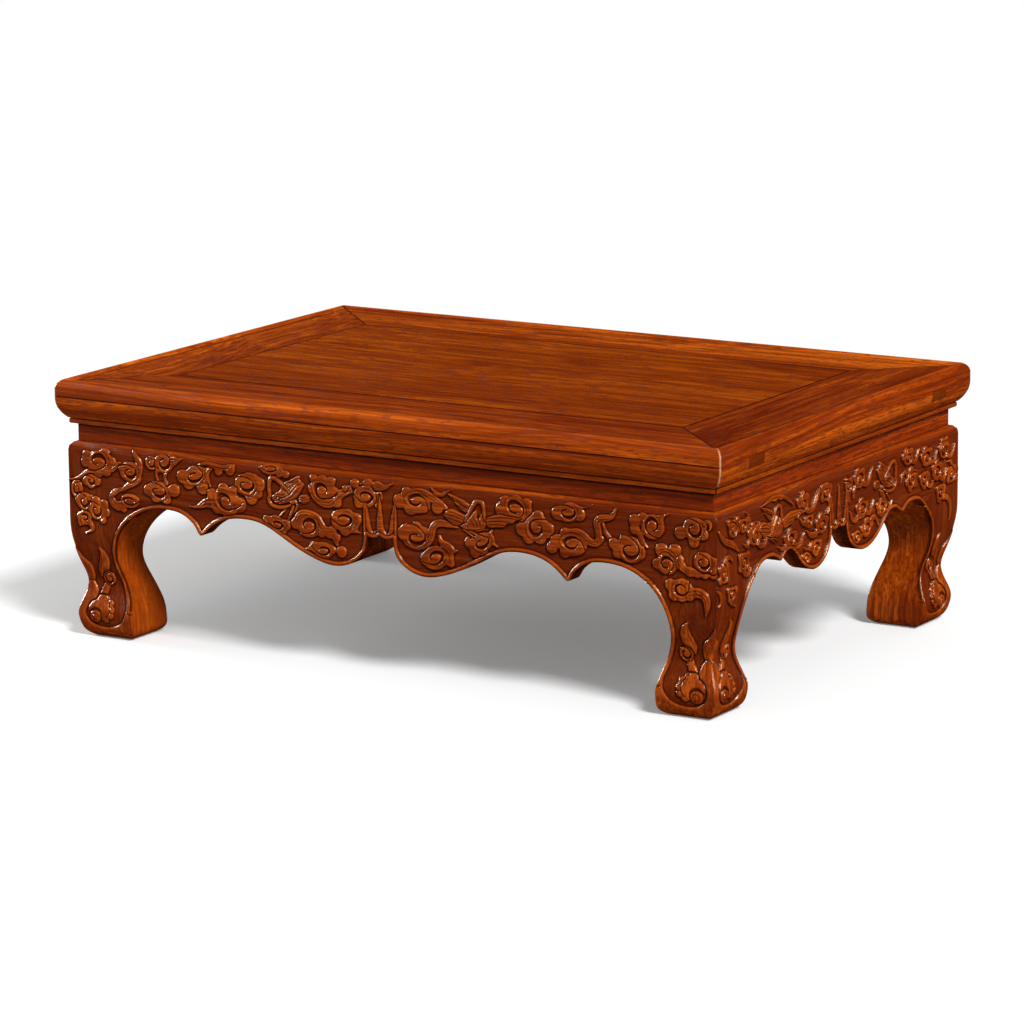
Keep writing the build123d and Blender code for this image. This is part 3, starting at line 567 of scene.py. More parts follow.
# Each cloud is (head, lobes, stems, veins), from left to right on the front, in millimetres.
FRONT_CLOUDS = [
    # left leg's shoulder
    ((-396, 217, 10, 6, 0, 6, 276, -1),
     [(-412, 223, 7), (-415, 215, 6), (-386, 229, 7), (-377, 219, 6), (-384, 206, 6), (-395, 204, 6)],
     [[(-376, 210, 4), (-371, 214, 3.5), (-366, 217, 2.5), (-360, 211, 1.5)],
      [(-442, 192, 1.2), (-432, 193, 1.6), (-422, 197, 2.4), (-410, 203, 4), (-398, 203, 4)]]),
    ((-407, 193, 4, 3, 0, 3, 90, 1), [(-398, 193, 5), (-415, 192, 5), (-407, 188, 4)]),
    ((-428, 181, 3.5, 6, 0, 3, 90, -1),),
    ((-418, 167, 5, 5.5, 0, 3.6, 84, 1), [(-409, 171, 5), (-427, 168, 4)]),
    ((-400, 158, 6, 6, 0, 3.8, 84, 1), [(-401, 169, 6), (-389, 166, 6), (-386, 156, 5), (-391, 147, 5)], [],
     [[(-392, 168), (-387, 162), (-384, 154)]]),
    ((-418, 147, 4, 3.5, 0, 3, 200, 1), [(-426, 148, 4), (-412, 150, 4), (-424, 140, 4)],
     [[(-415, 144, 4), (-409, 140, 3), (-407, 134, 2.4), (-413, 130, 1.6), (-418, 128, 0.8)]]),
    ((-350, 209, 8, 5.5, 10, 4.5, 84, 1), [(-363, 213, 4), (-342, 200, 4)],
     [[(-346, 236, 1.6), (-341, 228, 3.2), (-336, 220, 4), (-336, 210, 3.6), (-340, 203, 3)],
      [(-338, 201, 3.6), (-346, 195, 3.6), (-355, 191, 3.4), (-361, 186, 2.6)]]),
    ((-351, 174, 9, 4, 0, 2.6, 324, 1), [(-368, 166, 6), (-360, 163, 4)],
     [[(-362, 187, 2.4), (-372, 183, 3.4), (-378, 176, 4), (-374, 168, 5)]]),
    ((-319, 223, 5, 4.6, 0, 1.6, 90, 1),),
    ((-309, 190, 9.5, 5.2, -4, 4.6, 84, 1), [(-324, 190, 7), (-287, 193, 8), (-298, 181, 6), (-313, 182, 6)]),
    ((-300, 226, 8, 6.2, 45, 4.6, 40, 1), [(-288, 229, 6)],
     [[(-290, 228, 5), (-281, 230, 3), (-275, 233, 0.8)],
      [(-308, 219, 3), (-312, 210, 2), (-310, 203, 1.4)],
      [(-299, 214, 2.6), (-300, 206, 1.8), (-298, 200, 2.6)]]),
    # left arch
    ((-256, 213.5, 11, 5.2, 22, 4.5, 38, 1), [(-274, 211, 8.5), (-266, 203, 7), (-246, 200, 8)],
     [[(-250, 203, 4), (-243, 209, 4.2), (-241, 217, 4), (-237, 223, 3.6), (-232, 227, 3)],
      [(-240, 214, 1.6), (-237, 208, 1.3), (-234.5, 201, 1.1)]]),
    ((-206, 228, 3, 2, 0, 0, 0, 1), [(-223, 222.5, 5.5), (-207, 225, 6.5)],
     [[(-251, 227, 1.2), (-243, 230, 3), (-232, 229, 3.4), (-220, 227.5, 3.2), (-208, 229, 3),
      (-202, 232, 1)]],
     [[(-240, 228), (-230, 227.5), (-220, 225.5), (-210, 226)],
      [(-233, 236), (-226, 233.5), (-219, 231.5)]]),
    ((-184, 210, 9.5, 6, 8, 5, 84, 1),
     [(-180, 219, 6), (-190, 216, 5), (-167, 212, 9), (-173, 219, 5), (-177, 195, 8), (-168, 201, 6)]),
    ((-213, 187, 8.5, 6.6, -20, 8, 329, 1),
     [(-233, 194, 7), (-217, 202, 7), (-203, 201, 6), (-226, 177, 6), (-194, 185, 9)],
     [[(-232, 184, 7), (-243, 182, 5), (-252, 177.5, 2.2), (-265, 176, 0.6)]],
     [[(-190, 192), (-186, 186), (-190, 179), (-198, 178), (-201, 184)]]),
    # left lobe
    ((-151, 233, 8.5, 3.4, 0, 2.4, 216, -1), [(-137, 229, 5), (-129, 228, 5)],
     [[(-166, 234, 1), (-158, 231, 2)], [(-140, 236, 1.6), (-135, 230, 2.4), (-140, 224, 1.4)]]),
    ((-142, 167, 6.5, 3.5, -10, 4, 216, -1),
     [(-156, 171, 6), (-145, 172, 6), (-129, 168, 6.5), (-134, 161, 5)], [],
     [[(-150, 175), (-140, 174), (-131, 171), (-126, 166)]]),
    ((-78, 213, 8, 7, 0, 5.8, 300, 1),
     [(-90, 227, 5.5), (-78, 226, 7), (-66, 226, 6), (-62, 213, 6.5), (-92, 214, 6), (-58, 201, 6)],
     [[(-89, 207, 4.5), (-80, 200, 4.5), (-68, 199, 4.8), (-58, 207, 5), (-48, 215, 5), (-33, 221, 5),
      (-18, 224, 5), (-6, 222, 4.5), (0, 214, 4), (-4, 204, 3)]]),
    ((-20, 212, 8.5, 5.6, 0, 5, 204, -1),
     [(-47, 219, 4), (-34, 227, 6), (-16, 229, 6.5), (-3, 227, 6), (-29, 203, 5)],
     [[(-3, 227, 5), (6, 226, 4), (13, 229, 2.4), (18, 232, 1)]]),
    ((-98, 170, 8.5, 6.2, 0, 5.5, 262, -1), [(-116, 171, 6.5), (-80, 164, 6), (-69, 164, 6), (-59, 160, 5)],
     [[(-115, 174, 3.6), (-110, 182, 4.6), (-97, 184, 4.8), (-86, 180, 4.6), (-80, 172, 4.6), (-72, 167, 4.4),
       (-63, 171, 4.4), (-57, 177, 3.6)],
      [(-63, 162, 3), (-60, 154, 2.4), (-57, 149, 1.2)]]),
    ((-50, 182, 9.5, 5.6, 0, 5, 216, -1),
     [(-43, 190, 5.5), (-33, 184, 8), (-48, 170, 7), (-35, 175, 5), (-60, 176, 5)],
     [[(-45, 171, 4), (-35, 170, 2), (-27, 169, 0.7)]], [[(-36, 190), (-30, 184), (-33, 176), (-42, 171)]]),
    ((-78, 143, 6.5, 3.6, 0, 4.4, 216, -1), [(-89, 146, 6), (-66, 145, 5), (-53, 144, 7)],
     [[(-91, 146, 5), (-98, 143.5, 2), (-104, 142, 0.6)]], [[(-47, 149), (-44, 144), (-43, 139)]]),
    # right lobe
    ((51, 214, 9.5, 5.4, 6, 6.5, 350, -1),
     [(27, 212, 8.5), (37, 223, 7), (42, 206, 9), (60, 209, 7), (78, 209, 7.5)],
     [[(43, 221, 5), (54, 225, 5), (66, 222, 5), (77, 217, 4.6), (86, 212, 3.6), (91, 208, 1.8)],
      [(70, 232, 1.2), (75, 227, 2.4), (84, 225, 2.4), (92, 230, 1.2), (98, 233, 0.6)]]),
    ((50, 172, 10.5, 6, 8, 6, 52, 1), [(32, 175, 8.5), (36, 181, 6), (49, 184, 6.5), (61, 181, 3)],
     [[(38, 165, 4.4), (50, 162, 4.6), (62, 166, 4.8), (69, 175, 4.6), (72, 186, 4.6), (80, 191.5, 4.4),
      (92, 191, 3.4), (104, 189, 1)]]),
    ((74, 150.5, 9, 5.6, 18, 6, 222, -1), [(61, 148, 6.5), (90, 150, 6), (96, 146, 4)],
     [[(80, 176, 2), (84, 169, 3.4), (93, 165, 4.6), (100, 161, 3.6), (103, 162, 1)],
      [(92, 163, 4.6), (95, 155, 4), (95, 146, 2.6)]], [[(84, 163), (92, 158), (93, 150)]]),
    ((137, 175, 9.5, 4.2, 28, 4.4, 60, 1), [(121, 173, 7), (128, 163, 7), (139, 164, 5)],
     [[(143, 178, 3), (147, 184, 3), (150, 190, 1)], [(150, 181, 2.6), (153, 175, 1.8), (157, 172, 1)]],
     [[(152, 185), (153, 178), (156, 172)]]),
    # right arch
    ((182, 218, 10, 6.6, -14, 5.5, 320, -1),
     [(163, 216, 8), (168, 227, 6.5), (182, 229, 7), (196, 226, 7), (170, 211, 5)],
     [[(197, 222, 4.6), (198, 212, 4.6), (193, 205, 4.4), (188, 200, 4)]]),
    ((209.5, 199.5, 8, 7, 0, 6, 84, -1),
     [(211, 213, 7), (225, 200, 7), (224, 195, 6), (190, 196, 8), (199, 188, 8), (214, 188, 7)], [],
     [[(205, 202), (207, 206), (212, 206.4), (215.5, 203), (214, 199), (210.5, 198.6)]]),
    ((250, 221.5, 9, 5.2, 6, 4, 84, 1), [(236, 219, 7.5), (265, 220, 7.5)],
     [[(250, 233, 1), (258, 231, 2), (266, 229, 1.6), (274, 230, 0.8), (281, 234, 0.5)]]),
    ((256.5, 186, 10, 6, 5, 6, 0, -1), [(246, 197, 6.5), (235, 187, 8), (229, 179, 7), (246, 175, 6.5)],
     [[(252, 199, 3.4), (262, 200, 4.2), (270, 197, 4.4), (278, 191, 4.4), (287, 190, 4), (294, 195, 2.4)],
      [(290, 196, 4), (289, 206, 4.2), (288, 214, 4.6), (294, 219, 4.6), (304, 221, 4), (310, 227, 2.4),
       (311, 233, 1)], [(296, 212, 1.6), (299, 203, 2.4), (305, 196, 3)]]),
    # right leg's shoulder
    ((331, 187, 10, 7.6, 0, 5.5, 60, 1), [(309, 192, 6.5), (314, 182, 6.5), (322, 198, 6), (343, 184, 6)]),
    ((358.5, 216.5, 7.6, 7.6, 0, 5, 264, 1),
     [(336, 221, 7.5), (336, 211, 6), (346, 227, 5), (367, 224, 5), (368, 215, 5)],
     [[(368, 228, 3), (374, 231, 2), (378, 234, 0.8)], [(343, 206, 3.6), (345, 199, 3), (352, 192, 1)]]),
    ((411.5, 219, 7.6, 7.6, 0, 4.2, 84, 1), [(394, 213, 7.5), (411, 204, 6.5), (423, 213, 6), (420, 224, 5)],
     [[(423, 222, 3), (428, 229, 2.6), (432, 224, 2), (430, 219, 1)]]),
    ((377, 176, 7.4, 6.4, 0, 3.6, 306, -1),
     [(364, 175, 6), (370, 191, 8), (387, 192, 8), (390, 180, 7), (381, 186, 6), (406, 170, 5.2),
      (415.5, 169, 5), (425, 168.7, 5), (435.6, 169.5, 5)],
     [[(392, 182, 5), (397, 174, 4.4), (407, 170, 4), (417, 170, 3.4), (428, 171, 3)]],
     [[(367, 186), (373, 189.5), (380, 188), (385, 183)], [(368, 190), (375, 193), (383, 191), (388, 186)],
      [(386, 179), (390, 186), (395, 190)]]),
    ((423, 182.5, 6.6, 5.6, 0, 3.8, 84, 1), [(436, 184, 5.5), (435, 175, 5.5)]),
    ((395.5, 149.5, 7.4, 6.2, 0, 3.8, 10, 1), [(381, 153, 7), (386, 142, 7), (396, 140, 5), (406, 142, 5)],
     [[(404, 144, 5.5), (412, 147, 6), (420, 146.5, 5.6), (426.5, 140.5, 4.6), (427, 131, 3),
      (424.5, 120, 0.6)]], [[(413, 149), (416, 145), (421, 145)], [(402, 157), (405, 153), (405, 149)]]),
]

# The side's clouds run from y = -311 (front) to 311 (back).
SIDE_CLOUDS = [
    # front leg's shoulder
    ((-262, 215, 5.5, 5, 0, 3.4, 84, 1), [(-272, 223, 4.5), (-253, 224, 4.5), (-250, 213, 4.5)],
     [[(-295, 217, 1.6), (-289, 210, 3.4), (-281, 204, 4), (-271, 200, 4.4), (-260, 195, 3.6),
      (-251, 188, 1.4)]]),
    ((-283, 167, 5.2, 5, 0, 3, 40, 1), [(-292, 174, 4.5), (-276, 176, 4.5), (-292, 161, 4.5), (-275, 160, 4)],
     [[(-284, 178, 3), (-278, 184, 3.4), (-270, 184, 2.6), (-264, 178, 1)]]),
    ((-238, 173, 5.5, 5, 0, 3.4, 160, -1),
     [(-228, 179, 4.8), (-246, 180, 4.5), (-229, 167, 4.5), (-246, 166, 4)],
     [[(-240, 164, 3), (-234, 158, 3.2), (-226, 158, 2.6), (-221, 163, 1)]]),
    ((-240, 214, 4, 3.6, 0, 2.4, 200, 1), [(-232, 218, 4), (-247, 219, 4)],
     [[(-232, 210, 2.6), (-226, 216, 2.6), (-228, 224, 2), (-234, 229, 0.8)]]),
    ((-213, 198, 6.5, 5.6, 0, 4, 120, -1), [(-225, 203, 5), (-217, 210, 5), (-204, 208, 5), (-201, 197, 5)],
     [[(-206, 189, 3.4), (-199, 184, 3.6), (-190, 184, 3.2), (-184, 190, 2), (-181, 197, 0.8)],
      [(-225, 194, 3), (-232, 190, 2.6), (-238, 193, 1)]]),
    ((-265, 141, 4.6, 4, 0, 2.6, 20, -1), [(-257, 146, 4), (-273, 147, 4)],
     [[(-270, 135, 3), (-263, 130, 3), (-256, 126, 1)],
      [(-299, 151, 1), (-294, 148, 2.6), (-290, 142, 3), (-291, 136, 2.4), (-295, 132, 1)]]),
    # first lobe
    ((-165, 232, 3, 2, 0, 0, 0, 1), [(-152, 231, 3.5)],
     [[(-196, 228, 1), (-182, 231, 2), (-165, 233, 2.6), (-150, 231.5, 2.8), (-136, 226, 2.6),
      (-122, 217, 1.2)]], [[(-180, 231), (-165, 232.6), (-150, 231)]]),
    ((-128, 177, 6, 4.6, 0, 4, 200, 1), [(-139, 181, 5), (-129, 187, 5), (-117, 181, 5)],
     [[(-120, 171, 3.6), (-110, 167, 3.8), (-101, 171, 3.4), (-95, 179, 1.2)],
      [(-138, 172, 3.4), (-147, 170, 3), (-156, 174, 1)]]),
    ((-98, 213, 6, 5, 0, 4, 150, -1), [(-109, 218, 5), (-100, 225, 5), (-89, 220, 5)],
     [[(-90, 206, 3.6), (-82, 202, 3.8), (-72, 206, 3.8), (-64, 215, 3.6), (-56, 223, 2.8), (-48, 228, 1)],
      [(-106, 205, 3), (-114, 201, 2.6), (-120, 205, 1)]]),
    ((-42, 217, 6, 5, 0, 4, 30, 1), [(-32, 221, 4.5), (-51, 223, 4.5), (-50, 210, 4.5)],
     [[(-36, 208, 3.4), (-33, 200, 3.2), (-38, 193, 2.6), (-44, 190, 1)]]),
    ((-84, 190, 4, 3.4, 0, 2.4, 200, 1), [(-77, 194, 3.6), (-91, 194, 3.6)],
     [[(-92, 188, 2.6), (-99, 191, 2.4), (-104, 197, 1)]]),
    ((-52, 181, 6.5, 5, 0, 4, 170, -1), [(-63, 185, 5), (-53, 191, 5), (-41, 185, 4.6)],
     [[(-62, 176, 3.6), (-71, 172, 3.8), (-80, 174, 3.2), (-88, 180, 1)]]),
    ((-66, 157, 5.4, 4, 0, 3.2, 180, 1), [(-76, 161, 5), (-57, 160, 5), (-66, 150, 4)],
     [[(-80, 158, 3.4), (-88, 158, 2.4), (-95, 162, 0.8)]]),
    ((-90, 148, 4, 3.4, 0, 2.6, 20, -1), [(-98, 151, 4), (-83, 146, 4)]),
    # second lobe
    ((14, 214, 4, 3.6, 0, 2.4, 90, 1), [(20, 220, 3.6), (9, 221, 3.6)],
     [[(12, 206, 2.6), (14, 198, 2.2), (18, 192, 1)]]),
    ((42, 217, 6, 5, 0, 4, 180, 1), [(31, 220, 5), (37, 227, 5), (50, 224, 5)],
     [[(50, 212, 3.4), (58, 208, 3.6), (66, 212, 3.2), (71, 220, 2.2), (76, 226, 0.8)],
      [(33, 210, 3), (27, 204, 2.8), (26, 197, 1)]]),
    ((48, 180, 6.5, 5, 0, 4, 190, 1), [(37, 184, 5), (48, 190, 5), (59, 184, 4.6)],
     [[(40, 173, 3.6), (31, 170, 3.4), (23, 174, 2.8), (19, 182, 1)],
      [(58, 175, 3.2), (67, 173, 3), (74, 178, 2.2), (78, 186, 0.8)]]),
    ((60, 155, 6, 4.4, 8, 3.6, 190, 1), [(49, 157, 5), (71, 159, 5), (62, 164, 4.6)],
     [[(72, 164, 3), (80, 165, 3.2), (87, 160, 2.6), (90, 153, 1)]]),
    ((36, 149, 4.4, 3.6, 0, 2.8, 30, -1), [(28, 152, 4), (45, 148, 4)]),
    ((98, 172, 5.4, 4.4, 0, 3.6, 200, 1), [(89, 177, 4.6), (107, 176, 4.8), (98, 181, 4.4)],
     [[(106, 167, 3), (114, 166, 3), (121, 170, 2.2), (125, 177, 0.8)]]),
    # back leg's shoulder
    ((166, 221, 6, 4.6, -10, 3.6, 150, -1), [(155, 223, 5), (162, 230, 4.6), (175, 227, 5)],
     [[(176, 215, 3.2), (184, 213, 3.2), (190, 218, 2.4), (194, 226, 0.8)]]),
    ((175, 193, 6, 5.4, 0, 4, 80, -1),
     [(175, 204, 5), (186, 198, 5), (184, 187, 5), (172, 183, 4.6), (165, 190, 4.6)],
     [[(166, 200, 3), (158, 204, 3), (151, 200, 2.2), (148, 193, 0.8)]]),
    ((215, 212, 6, 5, 0, 4, 180, 1), [(204, 215, 5), (212, 222, 5), (225, 218, 5)],
     [[(224, 206, 3.4), (232, 203, 3.4), (239, 208, 2.6), (243, 216, 1)]]),
    ((210, 186, 5, 4.4, 0, 3.4, 20, 1), [(201, 190, 4.6), (219, 190, 4.6), (210, 179, 4.4)],
     [[(218, 180, 3), (225, 176, 3), (232, 179, 2.2), (236, 186, 0.8)]]),
    ((243, 190, 6, 5, 0, 3.8, 180, 1), [(234, 196, 4.8), (243, 201, 4.8), (253, 196, 4.8)],
     [[(251, 184, 3.4), (258, 179, 3.4), (265, 182, 2.4), (269, 190, 1)]]),
    ((262, 214, 6, 5.4, 0, 4, 100, -1), [(251, 217, 4.8), (257, 225, 4.6), (268, 225, 4.8), (273, 215, 4.8)],
     [[(270, 207, 3.4), (278, 203, 3.4), (286, 208, 2.4), (291, 216, 1)]]),
    ((283, 180, 5.4, 5, 0, 3.4, 60, 1), [(291, 187, 4.4), (292, 175, 4.4), (274, 186, 4.4), (275, 174, 4.6)],
     [[(284, 191, 3), (279, 197, 2.6), (272, 197, 1)]]),
    ((254, 163, 5, 4.4, 0, 3.2, 20, 1), [(246, 168, 4.4), (263, 167, 4.4), (250, 155, 4.4)],
     [[(262, 156, 3.6), (271, 154, 3.6), (278, 147, 3.2), (281, 136, 2.4), (280, 124, 0.6)]]),
]


# ---- Meshes -------------------------------------------------------------------------------------
# The sharpest bend in degrees that is still shaded smooth, the drop in millimetres at which a place
# counts as fully hollow, and about how wide a leg's carved face is.
SMOOTH_LIMIT = 50
HOLLOW_RANGE = 0.9
FACE_WIDTH = 87


def build_mesh(name, points, faces, values):
    """A closed mesh from points in millimetres and arrays of faces, with one number of each kind of
    value for each point. Points that coincide are welded and all faces are turned outwards."""
    mesh = bpy.data.meshes.new(name)
    points = np.asarray(points, float) * MM
    corners = np.concatenate([np.asarray(group).ravel() for group in faces])
    sizes = np.concatenate([np.full(len(group), np.asarray(group).shape[1]) for group in faces])
    starts = np.concatenate([[0], np.cumsum(sizes)[:-1]])
    mesh.vertices.add(len(points))
    mesh.vertices.foreach_set("co", points.ravel())
    mesh.loops.add(len(corners))
    mesh.loops.foreach_set("vertex_index", corners.astype(np.int32))
    mesh.polygons.add(len(starts))
    mesh.polygons.foreach_set("loop_start", starts.astype(np.int32))
    mesh.update(calc_edges=True)
    for kind, numbers in values.items():
        numbers = np.resize(np.asarray(numbers, np.float32), len(points))
        mesh.attributes.new(kind, "FLOAT", "POINT").data.foreach_set("value", numbers)
    work = bmesh.new()
    work.from_mesh(mesh)
    bmesh.ops.remove_doubles(work, verts=work.verts, dist=2e-6)
    bmesh.ops.recalc_face_normals(work, faces=work.faces)
    if work.calc_volume(signed=True) < 0:
        bmesh.ops.reverse_faces(work, faces=work.faces)
    work.to_mesh(mesh)
    work.free()
    mesh.polygons.foreach_set("use_smooth", np.ones(len(mesh.polygons), bool))
    mesh.set_sharp_from_angle(angle=math.radians(SMOOTH_LIMIT))
    return mesh


def add_piece(name, mesh, material, slot, *nodes):
    """Puts a mesh in the scene as the piece that stands for some nodes of the frame."""
    piece = bpy.data.objects.new(name, mesh)
    bpy.context.scene.collection.objects.link(piece)
    mesh.materials.append(material)
    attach(piece, "root")
    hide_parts(*nodes)


def placed(side, along, inset, z):
    """Turns places on one side of the table into points in the shared frame."""
    along, inset, z = np.broadcast_arrays(along, inset, z)
    if side == "front":
        return np.stack([along, inset - HALF_DEPTH, z], -1)
    if side == "back":
        return np.stack([along, HALF_DEPTH - inset, z], -1)
    if side == "right":
        return np.stack([HALF_LENGTH - inset, along, z], -1)
    return np.stack([inset - HALF_LENGTH, along, z], -1)


def grid_quads(rows, columns, first=0):
    """The faces of a grid of points kept row by row."""
    index = first + np.arange(rows * columns).reshape(rows, columns)
    return np.stack([index[:-1, :-1], index[:-1, 1:], index[1:, 1:], index[1:, :-1]], -1).reshape(-1, 4)


def turned(faces, flip):
    """The faces, turned over where the side that they are placed on mirrors them."""
    return [group[:, ::-1] for group in faces] if flip else faces


def relief_values(relief, along, v, fade):
    """The sink of the carved face, and how hollow or how high it lies among its surroundings."""
    high = relief.sample(along, v)
    near = relief.blurred.sample(along, v)
    sink = (SINK - high) * fade * relief.depth_share
    return sink, np.clip((near - high) / HOLLOW_RANGE, -1, 1) * fade


def round_fade(angle):
    """The share of the carving's depth that is left as the shoulder's round turns level."""
    return 1 - np.clip((np.degrees(angle) - 18) / 52, 0, 1) ** 1.3


def blurred_relief(relief, reach=2.0):
    """The same relief with its height evened out over a few millimetres."""
    soft = Relief(relief.half)
    height = relief.height
    size = int(reach / relief.pitch)
    for _ in range(2):
        for axis in (0, 1):
            padded = np.pad(height, [(size, size) if k == axis else (0, 0) for k in (0, 1)], mode="edge")
            total = np.cumsum(padded, axis=axis)
            count = height.shape[axis]
            ahead = np.take(total, np.arange(count) + 2 * size, axis=axis)
            back = np.take(total, np.arange(count), axis=axis)
            height = (ahead - back) / (2 * size)
    soft.height = height
    return soft


def even_columns(line_x, line_z, pitch, marks):
    """Columns spaced evenly along a line, moved to pass through its marked places."""
    run = np.concatenate([[0], np.cumsum(np.hypot(np.diff(line_x), 0.8 * np.diff(line_z)))])
    count = int(run[-1] / pitch)
    columns = np.interp(np.linspace(0, run[-1], count), run, line_x)
    for mark in marks:
        columns[np.argmin(np.abs(columns - mark))] = mark
    return np.unique(columns)


def apron_mesh(side, relief, pitch):
    """A carved apron: its face follows the scalloped edge, the shoulder's round and the mitres."""
    long_side = side in ("front", "back")
    half = HALF_LENGTH if long_side else HALF_DEPTH
    shape = FRONT_EDGE if long_side else SIDE_EDGE
    line = edge_line(shape, half)
    reach = half - TIP_INSET - 0.15
    dense = np.linspace(-reach, reach, int(2 * reach / 0.1))
    low = np.maximum(np.interp(dense, line[:, 0], line[:, 1]), 0)
    low = np.where(np.abs(dense) > half - BLOCK_INSET, MITRE_SUM - (half - np.abs(dense)), low)
    marks = [end * (half - inset) for end in (-1, 1) for inset in (BLOCK_INSET, APRON_BACK, WAIST_INSET)]
    marks += [shape["shift"] + end * NOTCH_HALF for end in (-1, 1)]
    marks += [end * (half - BLOCK_INSET - shape["span"]) for end in (-1, 1)]
    columns = even_columns(dense, low, pitch, marks)
    low = np.interp(columns, dense, low)
    inset_x = half - np.abs(columns)
    rows = int((WAIST_FOOT - shape["lobe"]) / pitch) + 10
    on_round = np.arcsin(np.clip((low - ROUND_FOOT) / ROUND, 0, 1))
    lowest = np.where(low > ROUND_FOOT, ROUND_FOOT + ROUND * on_round, low)
    turn = np.arccos(np.clip((WAIST_INSET - inset_x) / ROUND, 0, 1))
    highest = ROUND_FOOT + ROUND * turn
    share = np.linspace(0, 1, rows)[:, None]
    v = lowest + (highest - lowest) * share
    along = np.broadcast_to(columns, v.shape)
    angle = np.clip((v - ROUND_FOOT) / ROUND, 0, math.pi / 2)
    sink, hollow = relief_values(relief, along, v, round_fade(angle))
    inset = WAIST_INSET - ROUND * np.cos(angle) + sink * np.cos(angle)
    z = np.minimum(v, ROUND_FOOT) + ROUND * np.sin(angle) - sink * np.sin(angle)
    count = len(columns)
    face = placed(side, along, inset, z).reshape(-1, 3)
    back_inset = np.maximum(inset_x, APRON_BACK)
    back_along = np.sign(columns) * (half - back_inset)
    back_low = np.where(inset_x < BLOCK_INSET, MITRE_SUM - back_inset, low)
    under = placed(side, back_along, APRON_BACK, back_low)
    over = placed(side, back_along, APRON_BACK, WAIST_FOOT)
    points = np.vstack([face, under, over])
    quads = [grid_quads(rows, count)]
    bottom, top = np.arange(count), np.arange(count) + (rows - 1) * count
    back_low_row = rows * count + np.arange(count)
    back_top_row = back_low_row + count
    for one, other in ((back_low_row, bottom), (top, back_top_row), (back_top_row, back_low_row)):
        quads.append(np.stack([one[:-1], one[1:], other[1:], other[:-1]], -1))
    ends = []
    for column, way in ((0, 1), (count - 1, -1)):
        edge = column + np.arange(rows) * count
        fan = np.stack([edge[1:], edge[:-1], np.full(rows - 1, back_low_row[column])], -1)
        last = np.array([[back_top_row[column], edge[-1], back_low_row[column]]])
        ends.append(np.vstack([fan, last])[:, ::way])
    rest = np.zeros(2 * count)
    values = {"hollow": np.concatenate([hollow.ravel(), rest]),
              "sunk": np.concatenate([sink.ravel() / SINK, rest])}
    return build_mesh(f"{side}_apron", points, turned(quads + ends, side in ("back", "left")), values)


ARRIS = 2.2


